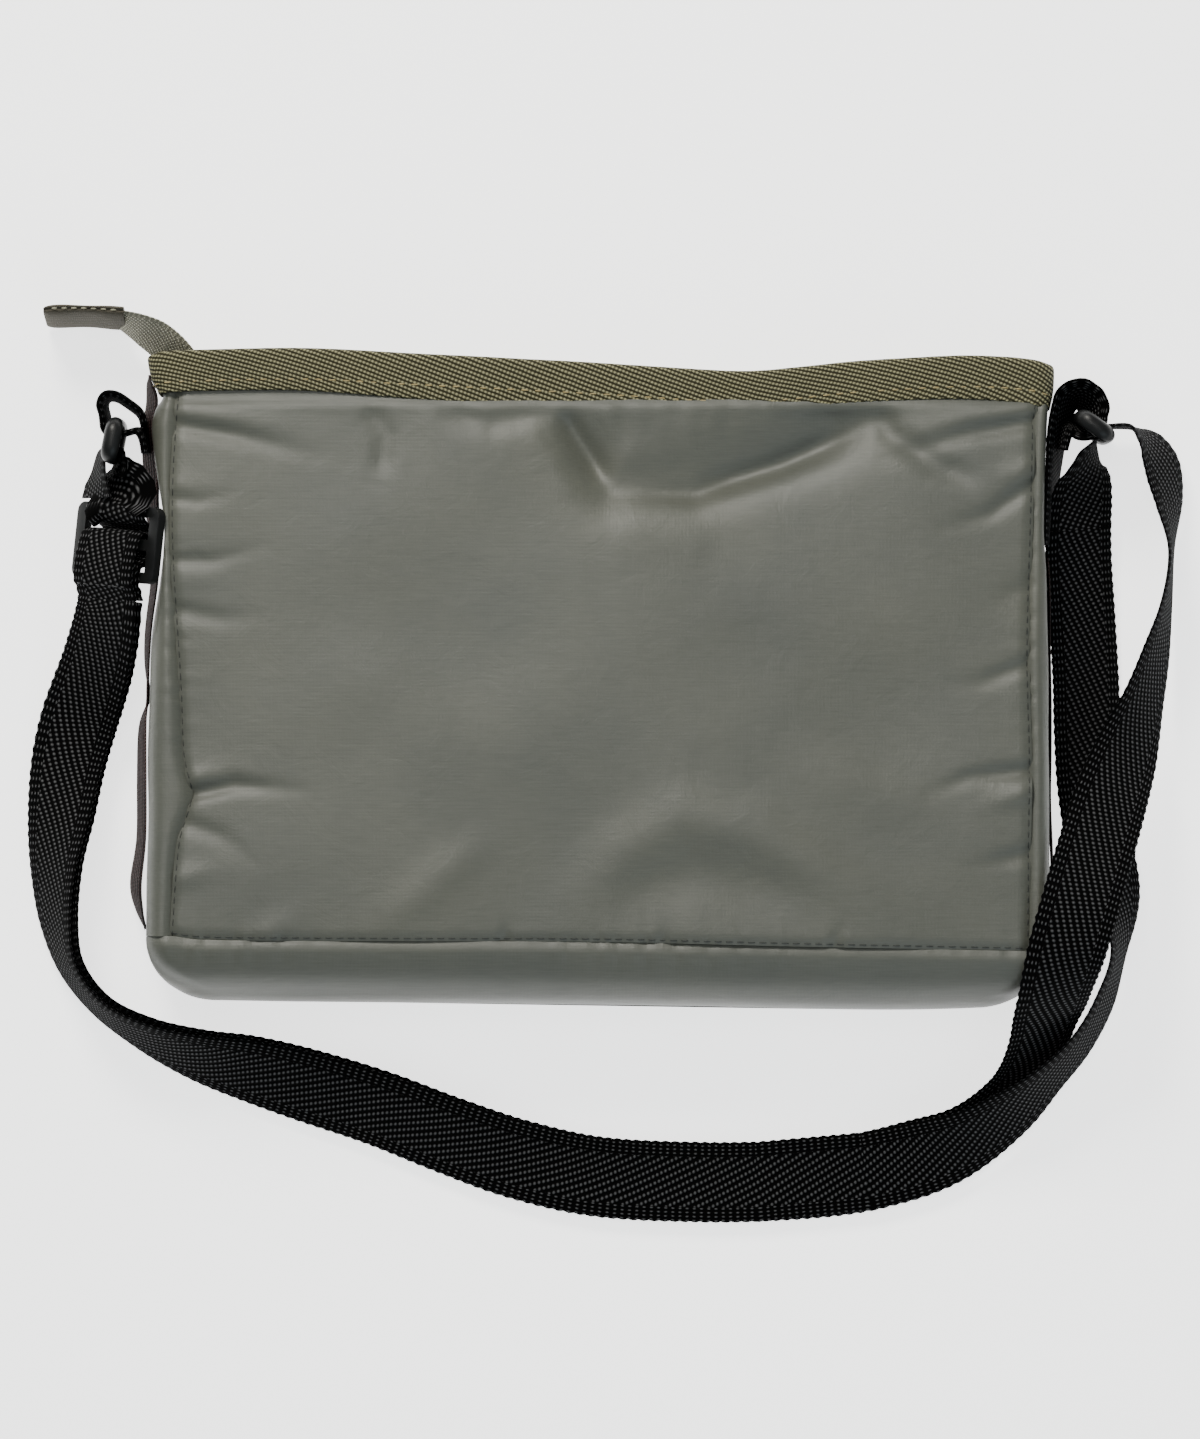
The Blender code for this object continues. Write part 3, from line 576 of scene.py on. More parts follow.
@dataclass(frozen=True)
class HardFinish:
    """Moulded or enamelled finish with a fine grain."""

    name: str
    colour: tuple[float, float, float]
    roughness: float
    metallic: float = 0.0
    grain: float = 0.00003
    specular: float = 0.5

    def make(self) -> bpy.types.Material:
        """Build the material's nodes."""
        material, w, shader = new_material(self.name)
        place = w.node("TexCoord").outputs["Object"]
        speck = w.node("TexNoise", {"Vector": place, "Scale": 2600.0, "Detail": 2.0}).outputs[0]
        broad = w.node("TexNoise", {"Vector": place, "Scale": 160.0, "Detail": 3.0}).outputs[0]
        light = tuple(min(1.0, part * 1.6 + 0.002) for part in self.colour)
        w.tree.links.new(w.ramp(broad, (0.3, self.colour), (0.8, light)),
                         shader.inputs["Base Color"])
        rough = w.math("MULTIPLY_ADD", broad, 0.22, self.roughness - 0.11)
        w.tree.links.new(rough, shader.inputs["Roughness"])
        bump = w.node("Bump", {"Height": speck, "Strength": 0.6, "Distance": self.grain})
        w.tree.links.new(bump.outputs[0], shader.inputs["Normal"])
        shader.inputs["Metallic"].default_value = self.metallic
        shader.inputs["Specular IOR Level"].default_value = self.specular
        return material


NYLON = ClothFinish("olive nylon", Weave.FINE, (0.066, 0.069, 0.056), (0.089, 0.092, 0.074), 0.46,
                    0.00003, (("Pitch", 0.42),), Coords.OBJECT, 0.2, specular=0.55, crumple=9.0)
RIM_TWILL = ClothFinish("rim twill", Weave.TWILL, (0.022, 0.02, 0.009), (0.33, 0.31, 0.18), 0.8,
                        0.0004, (("Grain Pitch", 1.2), ("Row Pitch", 1.4), ("Climb", 0.34)),
                        specular=0.2)
# Black webbing: its lighter ribs are a painted highlight on the raised yarns.
STRAP = ClothFinish("black herringbone", Weave.HERRINGBONE, (0.001, 0.001, 0.001),
                    (0.085, 0.085, 0.087), 0.85, 0.0005,
                    (("Rib Pitch", 4.4), ("Slant", 1.9), ("Yarn", 1.45), ("Edge", 4.6)),
                    tone_and_sheen=0.1, specular=0.04)
TAIL_TAPE = ClothFinish("tail herringbone", Weave.HERRINGBONE, (0.18, 0.172, 0.127),
                        (0.68, 0.65, 0.505), 0.75, 0.0004,
                        (("Half Width", 9.6), ("Rib Pitch", 2.2), ("Slant", 1.3), ("Edge", 1.8)),
                        specular=0.3)
ZIP_TAPE = ClothFinish("zip tape", Weave.TWILL, (0.05, 0.047, 0.034), (0.24, 0.23, 0.17), 0.8,
                       0.0002, (("Grain Pitch", 0.8), ("Row Pitch", 1.0), ("Climb", 0.5)),
                       specular=0.3)
SIDE_TAPE = ClothFinish("ribbed side tape", Weave.TWILL, (0.006, 0.003, 0.003),
                        (0.085, 0.052, 0.05), 0.75, 0.0004,
                        (("Grain Pitch", 1.1), ("Row Pitch", 3.0), ("Climb", 0.02)), specular=0.05)
END_TAB = ClothFinish("end tab nylon", Weave.FINE, (0.05, 0.045, 0.034), (0.1, 0.09, 0.07), 0.75,
                      0.0001, (("Pitch", 0.6),), Coords.OBJECT, 0.15, specular=0.08)
TAN_THREAD = HardFinish("tan thread", (0.26, 0.2, 0.085), 0.6)
DARK_THREAD = HardFinish("dark thread", (0.018, 0.019, 0.016), 0.6)
OLIVE_THREAD = HardFinish("olive thread", (0.2, 0.19, 0.13), 0.6)
BLACK_THREAD = HardFinish("black thread", (0.009, 0.009, 0.009), 0.55)
PLASTIC = HardFinish("black moulding", (0.004, 0.0042, 0.0042), 0.4, specular=0.3)
ENAMEL = HardFinish("dark enamel", (0.05, 0.048, 0.04), 0.38, 0.85)
COIL_NYLON = HardFinish("coil nylon", (0.085, 0.08, 0.06), 0.42)


def dress(obj: bpy.types.Object, finish: ClothFinish | HardFinish) -> bpy.types.Object:
    """Give an object one finish in place of all it had."""
    material = bpy.data.materials.get(finish.name) or finish.make()
    obj.data.materials.clear()
    obj.data.materials.append(material)
    return obj


# ================================================================ sewing

def stitch_row(name: str, path: np.ndarray, normals: np.ndarray, finish: HardFinish,
               pitch: float = SEAM_PITCH, share: float = 0.68,
               radius: float = 0.3 * MM) -> bpy.types.Object:
    """Sew a row of thread stitches along a path.

    Args:
        name: the piece's name.
        path: points of the seam.
        normals: the cloth's outward direction at each point.
        finish: the thread's finish.
        pitch: from one stitch to the next.
        share: how much of the pitch the visible thread fills.
        radius: half the thread's thickness.

    Returns:
        One object that holds all the stitches.
    """
    lengths = distances(path)
    bm = bmesh.new()
    for middle in np.arange(pitch / 2, lengths[-1], pitch):
        centre, ahead, behind = (Vector(read_rows(middle + step, lengths, path))
                                 for step in (0, pitch / 3, -pitch / 3))
        up = Vector(read_rows(middle, lengths, normals)).normalized()
        along = (ahead - behind).normalized()
        side = up.cross(along).normalized()
        turn = Matrix((along, side, along.cross(side))).transposed().to_4x4()
        size = Matrix.Diagonal((pitch * share / 2, radius, radius * 0.8, 1))
        bmesh.ops.create_uvsphere(bm, u_segments=6, v_segments=5, radius=1,
                                  matrix=Matrix.Translation(centre) @ turn @ size)
    return dress(object_from(bm, name), finish)


@dataclass
class Webbing:
    """A strip of webbing swept along a path, with rounded scalloped edges."""

    name: str
    points: np.ndarray
    across: np.ndarray
    finish: ClothFinish
    width: float = WEBBING
    thick: float = WEBBING_THICK
    step: float = 0.8 * MM
    scallop: float = 0.22 * MM
    scallop_pitch: float = 3.1 * MM
    sides: int = 14

    def resample(self) -> tuple[np.ndarray, np.ndarray, np.ndarray]:
        """Space the stations evenly.

        Returns:
            The points, the directions across, and the distance along, one row to each station.
        """
        lengths = distances(self.points)
        even = np.linspace(0, lengths[-1], max(int(lengths[-1] / self.step), 4) + 1)
        points = read_rows(even, lengths, self.points)
        return points, unit(read_rows(even, lengths, self.across)), even

    def build(self) -> bpy.types.Object:
        """Sweep the strip and dress it."""
        points, across, along = self.resample()
        tangents = unit(np.gradient(points, axis=0))
        across = unit(across - tangents * np.sum(tangents * across, axis=1, keepdims=True))
        normals = np.cross(tangents, across)
        last = len(points) - 1

        def section(t: np.ndarray) -> tuple[np.ndarray, np.ndarray]:
            """Place across the strip, from -1 to 1, and the side of it, for t round the section."""
            upper = t <= 0.5
            turn = np.where(upper, 4 * t - 1, 3 - 4 * t)
            return np.sin(turn * math.pi / 2), np.where(upper, 1.0, -1.0)

        def place(s: np.ndarray, t: np.ndarray) -> np.ndarray:
            """Points of the strip's skin."""
            row = np.rint(s * last).astype(int)
            reach, side = section(t)
            edge = smoothstep(0.8, 1.0, np.abs(reach))
            bumps = self.scallop * edge * np.sin(2 * math.pi * along[row] / self.scallop_pitch)
            half = self.width / 2 - self.scallop + bumps
            height = side * self.thick / 2 * np.sqrt(np.maximum(1 - np.abs(reach) ** 7, 0))
            return (points[row] + across[row] * (reach * half)[:, None]
                    + normals[row] * height[:, None])

        def chart(s: np.ndarray, t: np.ndarray) -> np.ndarray:
            """Distance along and across the strip in millimetres."""
            row = np.rint(s * last).astype(int)
            reach, _ = section(t)
            return np.stack([along[row], reach * self.width / 2], axis=1) / MM

        obj = shaped_grid(self.name, last, 2 * self.sides, place, chart, wrap=True)
        smooth(obj, 50)
        return dress(obj, self.finish)


def route_stations(route: Rows, raised: float = 0.0) -> tuple[np.ndarray, np.ndarray]:
    """Read a strap route.

    Args:
        route: rows of x, y, z in millimetres and the lean in degrees.
        raised: how far above the route the layer lies, along its own normal.

    Returns:
        The layer's points and the directions across it.
    """
    rows = catmull(np.array(route, float), PER_SPAN)
    points = rows[:, :3] * MM
    heading = unit(np.gradient(points, axis=0))
    level = unit(np.stack([-heading[:, 1], heading[:, 0], 0 * heading[:, 0]], axis=1))
    lean = np.radians(rows[:, 3:4])
    across = level * np.cos(lean) + np.array([0, 0, 1.0]) * np.sin(lean)
    across = unit(across - heading * np.sum(across * heading, axis=1, keepdims=True))
    return points + np.cross(heading, across) * raised, across


def slide_frame() -> Matrix:
    """Matrix of the slide buckle: X along the strap, Y across it, Z out of its upper face."""
    heading = Vector((math.cos(SLIDE_HEADING), math.sin(SLIDE_HEADING), 0))
    level = Vector((-heading.y, heading.x, 0))
    across = level * math.cos(SLIDE_LEAN) + Vector((0, 0, 1)) * math.sin(SLIDE_LEAN)
    turn = Matrix((heading, across, heading.cross(across))).transposed().to_4x4()
    return Matrix.Translation(SLIDE_PLACE) @ turn


def slide_profile(*pairs: tuple[float, float]) -> tuple[list[Vector], list[Vector]]:
    """Stations of webbing drawn in the buckle's side view, in millimetres."""
    frame = slide_frame()
    across = (frame.to_3x3() @ Vector((0, 1, 0))).normalized()
    return [frame @ (Vector((x, 0, z)) * MM) for x, z in pairs], [across] * len(pairs)


def smooth_stations(points: list[Vector], across: list[Vector]) -> tuple[np.ndarray, np.ndarray]:
    """Smooth stations into a dense path."""
    rows = catmull(np.array([(*point, *way) for point, way in zip(points, across)]), 10)
    return rows[:, :3], unit(rows[:, 3:])


# ================================================================ strap

@dataclass
class Strap:
    """The doubled shoulder strap and everything that it is sewn round."""

    width: float = WEBBING
    run_split: int = 3
    return_split: int = 2

    def build(self) -> None:
        """Make both runs, the two ring loops and the sewn end."""
        self.build_lower_run()
        self.build_upper_run()
        self.build_left_anchor()
        self.build_right_turn()
        self.build_sewn_end()

    def build_lower_run(self) -> None:
        """The layer next to the surface, which crosses over its partner to the right ring."""
        points, across = route_stations(SHARED_ROUTE + OUTER_ROUTE)
        last = len(points) - self.run_split * PER_SPAN
        points, across = points[:last], across[:last]
        obj = Webbing("strap_lower_webbing", points, across, STRAP).build()
        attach(obj, "bag")
        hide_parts("strap_lower_run")

    def build_upper_run(self) -> None:
        """The layer on top, which comes straight down from the right ring beside the bag."""
        first, first_across = route_stations(SHARED_ROUTE, LAYER_GAP)
        rest, rest_across = route_stations(INNER_ROUTE)
        last = len(rest) - self.return_split * PER_SPAN
        points = np.vstack([first[:-6], rest[4:last]])
        across = np.vstack([first_across[:-6], rest_across[4:last]])
        obj = Webbing("strap_upper_webbing", points, across, STRAP).build()
        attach(obj, "bag")
        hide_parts("strap_upper_run")

    def build_left_anchor(self) -> None:
        """The sewn end on the left ring, and the webbing's way over and under the slide's bars."""
        bar = RING_BARS["left"][1]
        loop = mm_points((-155.0, 56.4), (-154.9, 60.0), (-154.4, 64.0))
        loop += arc(bar, BAR_WRAP, 165, 15, 6)
        loop += [Vector(place) * MM for place in ((-148.4, 65.0, 17.6), (-150.6, 60.8, 18.6))]
        tilts = [24, 20, 13, 8, 6, 4, 4, 6, 8, 13, 24]
        loop_across = [Vector((math.sin(math.radians(tilt)), 0, math.cos(math.radians(tilt))))
                       for tilt in tilts]
        through, slide_across = slide_profile(
            (-12.9, 1.0), (-11.2, 2.6), (-8.6, 2.6), (-6.9, 1.2), (-5.9, -2.4),
            (-4.2, -5.2), (0.0, -5.6), (3.6, -5.2), (5.6, -2.6), (6.5, 0.4), (7.6, 2.0), (9.6, 2.3),
            (12.2, 2.1), (14.4, 0.6), (17.0, -0.4))
        points, across = smooth_stations(loop + through, loop_across + slide_across)
        obj = Webbing("strap_left_anchor", points, across, STRAP, step=0.6 * MM).build()
        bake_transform(obj)
        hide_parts("strap_end_left", "strap_through_slide")
        LOG.info("made %s", obj.name)

    def build_right_turn(self) -> None:
        """The webbing's turn through the right ring, with the start of both runs."""
        bar = RING_BARS["right"][1]
        up = Vector((0, 0, 1))
        out_points, out_across = route_stations(SHARED_ROUTE + OUTER_ROUTE)
        in_points, in_across = route_stations(INNER_ROUTE)
        out_from = len(out_points) - self.run_split * PER_SPAN - 1
        in_from = len(in_points) - self.return_split * PER_SPAN - 1
        turn = [Vector((161.6, 78.2, 17.5)) * MM] + arc(bar, BAR_WRAP, 85, 190, 6)
        turn += mm_points((150.3, 71.0), (149.2, 66.4), z=17.4 * MM)
        outer = [Vector(p) for p in out_points[out_from::4]]
        outer_across = [Vector(a) for a in out_across[out_from::4]]
        inner = [Vector(p) for p in in_points[in_from::4]][::-1]
        inner_across = [Vector(a) for a in in_across[in_from::4]][::-1]
        turn_across = [up] * (len(turn) - 2)
        turn_across += [(up * share + inner_across[0]).normalized() for share in (2.6, 0.7)]
        points, across = smooth_stations(outer + turn + inner,
                                         outer_across + turn_across + inner_across)
        obj = Webbing("strap_right_turn", points, across, STRAP, step=0.6 * MM).build()
        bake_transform(obj)
        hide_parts("strap_turn_right")
        LOG.info("made %s", obj.name)

    def build_sewn_end(self) -> None:
        """The strap's other end, folded round the slide's middle bar and stitched to itself."""
        points, across = smooth_stations(*slide_profile(
            (11.6, 3.9), (8.4, 3.9), (6.4, 3.2), (4.8, 0.6), (3.6, -2.4), (1.6, -3.4),
            (-1.4, -3.4), (-3.0, -2.2), (-3.5, 0.0), (-3.1, 2.6), (-1.4, 4.0), (2.6, 5.0),
            (7.0, 5.6), (12.0, 5.4), (14.2, 3.9), (17.4, 2.3)))
        obj = Webbing("strap_sewn_fold", points, across, STRAP, step=0.6 * MM).build()
        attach(obj, "bag")
        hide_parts("strap_sewn_end")
        frame = slide_frame()
        half = self.width / 2 - 1.5 * MM
        line = np.array([(frame @ Vector((13.4 * MM, y, 5.3 * MM)))[:]
                         for y in np.linspace(-half, half, 12)])
        up = np.array([(frame.to_3x3() @ Vector((0.3, 0, 1)))[:]] * len(line))
        thread = stitch_row("strap_end_stitches", line, up, BLACK_THREAD, pitch=2.6 * MM)
        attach(thread, "bag")
        LOG.info("made %s", obj.name)


# ================================================================ rings, tabs and slide buckle

@dataclass
class Hardware:
    """Plastic rings and the slide buckle."""

    ring_bend: float = 3.2 * MM
    slide_thick: float = 3.0 * MM
    slide_corner: float = 3.0 * MM
    slide_edge: float = 0.9 * MM

    def build(self) -> None:
        """Make the rings and the buckle."""
        for side in ("left", "right"):
            self.build_ring(side)
        self.build_slide()

    def build_ring(self, side: str) -> None:
        """A rounded rectangular ring with flattened ends, its long side along Z."""
        tab_bar, strap_bar = RING_BARS[side]
        across = strap_bar - tab_bar
        half_short = across.length / 2
        half_long = RING_LONG / 2 - RING_BAR_RADIUS
        middle = (tab_bar + strap_bar) / 2
        direction = across.normalized()
        bend = self.ring_bend
        outline = [(sx * (half_short - bend) + bend * math.cos(angle),
                    sy * (half_long - bend) + bend * math.sin(angle))
                   for sx, sy, first in ((1, 1, 0), (-1, 1, 90), (-1, -1, 180), (1, -1, 270))
                   for angle in np.radians(np.linspace(first, first + 90, 7))]
        ring = np.array(outline + outline[:1])
        count = len(ring) - 1
        flat = Vector((-direction.y, direction.x, 0))

        def place(s: np.ndarray, t: np.ndarray) -> np.ndarray:
            """Points of the ring's skin: s goes round the loop and t round its bar."""
            index = np.rint(s * count).astype(int) % count
            around = t * 2 * math.pi
            here = ring[index]
            ahead = ring[(index + 1) % count] - ring[(index - 1) % count]
            out = unit(np.stack([ahead[:, 1], -ahead[:, 0]], axis=1))
            end = smoothstep(0.75, 1.0, np.abs(here[:, 1]) / half_long)
            reach = RING_BAR_RADIUS * np.cos(around)
            depth = RING_BAR_RADIUS * np.sin(around) * (1 + 0.25 * end)
            plane = here + out * reach[:, None]
            return (np.array(middle) + plane[:, :1] * np.array(direction)
                    + plane[:, 1:] * np.array([0, 0, 1.0]) + depth[:, None] * np.array(flat))

        obj = shaped_grid(f"ring_{side}_moulding", count, 18, place, even_chart(90, 14), wrap=True)
        with editing(obj):
            bpy.ops.mesh.remove_doubles(threshold=WELD)
            bpy.ops.mesh.delete_loose()
            bpy.ops.mesh.normals_make_consistent(inside=False)
        rounding = obj.modifiers.new("Rounding", "SUBSURF")
        rounding.levels = 1
        rounding.render_levels = 1
        apply_modifiers(obj)
        smooth(obj, 60)
        dress(obj, PLASTIC)
        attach(obj, f"ring_{side}")
        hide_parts(f"ring_{side}")
        LOG.info("made %s", obj.name)

    def build_slide(self) -> None:
        """The three-bar slide: a rounded plate with two slots inset and cut, then bevelled."""
        bpy.ops.object.select_all(action="DESELECT")
        bpy.ops.mesh.primitive_cube_add(size=1, location=(0, 0, 0))
        obj = bpy.context.object
        obj.name = "slide_moulding"
        obj.data.transform(Matrix.Diagonal((SLIDE_LENGTH, SLIDE_SPAN, self.slide_thick, 1)))
        with editing(obj):
            bpy.ops.mesh.select_mode(type="EDGE")
            bpy.ops.mesh.select_all(action="DESELECT")
            bm = bmesh.from_edit_mesh(obj.data)
            for edge in bm.edges:
                a, b = edge.verts
                edge.select = abs(a.co.z - b.co.z) > self.slide_thick / 2
            bmesh.update_edit_mesh(obj.data)
            bpy.ops.mesh.bevel(offset=self.slide_corner, segments=6, affect="EDGES")
        slot = (SLIDE_LENGTH - 3 * SLIDE_BAR) / 2
        for sign in (-1, 1):
            bpy.ops.mesh.primitive_cube_add(size=1)
            cutter = bpy.context.object
            cutter.data.transform(Matrix.Diagonal((slot, SLOT_WIDTH, 0.02, 1)))
            cutter.data.transform(Matrix.Translation((sign * (SLIDE_BAR + slot) / 2, 0, 0)))
            cut = obj.modifiers.new("Slot", "BOOLEAN")
            cut.operation = "DIFFERENCE"
            cut.object = cutter
            apply_modifiers(obj)
            bpy.data.objects.remove(cutter, do_unlink=True)
        edges = obj.modifiers.new("Edges", "BEVEL")
        edges.width = self.slide_edge
        edges.segments = 4
        edges.limit_method = "ANGLE"
        apply_modifiers(obj)
        obj.data.transform(slide_frame())
        smooth(obj, 35)
        dress(obj, PLASTIC)
        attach(obj, "bag")
        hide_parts("slide_buckle")
        LOG.info("made %s", obj.name)


@dataclass
class SideWebbing:
    """The ring tabs and the ribbed tapes on the gussets."""

    tab_width: float = 24.0 * MM
    tab_wrap: float = 3.6 * MM
    tape_width: float = 19.0 * MM

    def build(self) -> None:
        """Make both tabs and both tapes."""
        left_bar = RING_BARS["left"][0]
        left = mm_points((-139.4, 70.0), (-140.3, 74.4), (-142.2, 76.9), (-145.2, 76.4))
        left += arc(left_bar, self.tab_wrap, -100, -170, 5)
        left += mm_points((-152.5, 81.8), (-153.2, 84.9), (-151.8, 87.4), (-148.6, 87.3),
                          (-144.8, 84.9), (-141.6, 82.2), (-140.4, 78.6))
        right_bar = RING_BARS["right"][0]
        right = mm_points((136.2, 42.0), (136.9, 50.0), (137.9, 60.0), (138.7, 68.0), (139.6, 76.0),
                          (141.2, 83.0), (143.0, 87.0), (146.3, 88.4), (149.3, 86.8), (150.8, 84.2))
        right += arc(right_bar, self.tab_wrap, 0, -110, 6)
        right += mm_points((142.6, 78.6), (140.8, 75.2), (140.0, 71.0))
        for side, loop, leans in (("left", left, (4, 2, 4, 4)), ("right", right, (5, 21, 20, 10))):
            path = np.array([point[:] for point in loop])
            heading = unit(np.gradient(path, axis=0))
            outward = np.stack([-heading[:, 1], heading[:, 0], 0 * heading[:, 0]], axis=1)
            lean = np.radians(np.interp(np.linspace(0, 3, len(loop)), range(4), leans))[:, None]
            across = outward * np.sin(lean) + np.array([0, 0, 1.0]) * np.cos(lean)
            points, across = smooth_stations(loop, [Vector(row) for row in across])
            obj = Webbing(f"side_tab_{side}_webbing", points, across, STRAP, width=self.tab_width,
                          thick=2.1 * MM, step=0.6 * MM).build()
            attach(obj, "bag")
            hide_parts(f"side_tab_{side}")
        self.build_tapes()

    def build_tapes(self) -> None:
        """Ribbed tapes that stand slack between their tacks."""
        runs = {
            "left": (-1, [(94.0, 0.2, 2), (88.0, 1.8, 12), (80.0, 0.6, 14), (66.0, 1.2, 17),
                          (54.0, 3.2, 17), (44.0, 2.6, 10), (30.0, 1.7, 9), (8.0, 1.0, 7),
                          (-2.0, 0.3, 1), (-6.0, 0.3, 1), (-14.0, 1.8, 9), (-30.0, 2.0, 11),
                          (-48.0, 2.1, 11), (-62.0, 3.6, 13), (-70.0, 2.4, 9), (-76.0, 0.3, 2)]),
            "right": (1, [(38.0, 0.2, 0), (24.0, 0.3, 0), (10.0, 0.1, 0), (-6.0, 0.3, 0),
                          (-22.0, 0.3, 0), (-36.0, 0.1, 0), (-52.0, 0.8, 2), (-64.0, 0.8, 2),
                          (-76.0, 0.1, 0)]),
        }
        for name, (side, run) in runs.items():
            rows = catmull(np.array(run, float), 12)
            y = rows[:, 0] * MM
            lean = np.radians(rows[:, 2])
            x = side * (SEAM_X + 0.7 * MM + side_reach(y, side) + rows[:, 1] * MM)
            points = np.stack([x, y, np.full_like(x, 12.0 * MM)], axis=1)
            across = np.stack([-side * np.sin(lean), 0 * lean, np.cos(lean)], axis=1)
            obj = Webbing(f"side_tape_{name}_webbing", points, across, SIDE_TAPE,
                          width=self.tape_width, thick=0.9 * MM, scallop=0.12 * MM,
                          scallop_pitch=1.0 * MM, step=0.3 * MM, sides=8).build()
            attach(obj, "bag")
            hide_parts(f"side_tape_{name}")
            LOG.info("made %s", obj.name)


# ================================================================ bag shell

def panel_height(y: np.ndarray) -> np.ndarray:
    """Height of the back panel at y, before any wrinkles."""
    return BASE_DEPTH + (y - BASE_SEAM_Y) / (RIM_Y - BASE_SEAM_Y) * (RIM_DEPTH - BASE_DEPTH)


def side_reach(y: np.ndarray, side: int) -> np.ndarray:
    """How far the gusset and the binding stand past the side seam at y."""
    if side < 0:
        places = [(-104, 8.2), (-80, 7.8), (-50, 7.4), (-10, 7.2), (13, 6.3), (30, 3.8), (40, 2.6),
                  (49, 2.5), (61, 4.4), (70, 6.0), (79, 6.8), (87, 4.4), (93, 6.4), (102, 8.2)]
    else:
        places = [(-104, 5.8), (-80, 5.6), (-50, 5.2), (-24, 5.1), (0, 5.1), (30, 4.7), (44, 3.8),
                  (56, 4.0), (78, 4.8), (86, 5.4), (93, 6.6), (102, 7.2)]
    return curve_through(places, y)


def rim_inset(y: np.ndarray) -> np.ndarray:
    """How far the shell steps in at y, to go inside the binding."""
    return RIM_STEP * smoothstep(RIM_Y - 17 * MM, RIM_Y - 13.6 * MM, y)


def seam_x(y: np.ndarray, side: int) -> np.ndarray:
    """The side seam's x at y: it wanders where the strap hardware and the filling pull it."""
    if side < 0:
        places = [(-90, -132), (-79, -131.6), (-50, -129.6), (-35, -125.8), (-22, -128.2),
                  (0, -129.2), (36, -131.6), (56, -132), (76, -131.2), (104, -129)]
    else:
        places = [(-90, 130), (-79, 130.3), (-50, 130.6), (-24, 131), (10, 130.4), (48, 131.6),
                  (76, 132.4), (86, 133.2), (104, 133.6)]
    return curve_through(places, y)


def base_seam_y(x: np.ndarray) -> np.ndarray:
    """The bottom seam's y at x."""
    return curve_through([(-150, -78.6), (-132, -77.4), (-118, -78.6), (-60, -79), (0, -79.2),
                          (60, -80.6), (131, -82), (150, -82)], x)


def rim_top_y(x: np.ndarray) -> np.ndarray:
    """The mouth's edge: it dips right of the middle, where the cloth sags between the sides."""
    return curve_through([(-150, 97.6), (-138.5, 99.8), (-130, 101.2), (-92, 102), (-62, 100.6),
                          (-30, 99), (0, 97.4), (28, 95.6), (46, 95), (62, 96.4), (78, 98),
                          (106, 99.6), (122, 99.4), (132, 98.4), (138.6, 96.6), (150, 95)], x)


@dataclass(frozen=True)
class Fold:
    """A ridge, or a valley where its rise is negative, along a line on the back panel."""

    line: tuple[tuple[float, float], ...]
    width: float
    rise: float
    fade: float = 0.25
    from_seam: bool = False

    def height(self, x: np.ndarray, y: np.ndarray) -> np.ndarray:
        """Height of the fold at places in millimetres.

        Args:
            x: places along the mouth.
            y: places up the panel.

        Returns:
            The fold's height in millimetres.
        """
        best = np.full(x.shape, 1e9)
        along = np.zeros(x.shape)
        spans = [math.dist(a, b) for a, b in zip(self.line, self.line[1:])]
        done = 0.0
        for (ax, ay), (bx, by), span in zip(self.line, self.line[1:], spans):
            share = np.clip(((x - ax) * (bx - ax) + (y - ay) * (by - ay)) / span ** 2, 0, 1)
            gap = np.hypot(x - ax - share * (bx - ax), y - ay - share * (by - ay))
            closer = gap < best
            best = np.where(closer, gap, best)
            along = np.where(closer, (done + share * span) / sum(spans), along)
            done += span
        start = 1.0 if self.from_seam else smoothstep(-0.02, self.fade, along)
        ends = start * (1 - smoothstep(0.15 if self.from_seam else 1 - self.fade, 1.02, along))
        return self.rise * np.exp(-(best / self.width) ** 2) * (0.12 + 0.88 * ends)


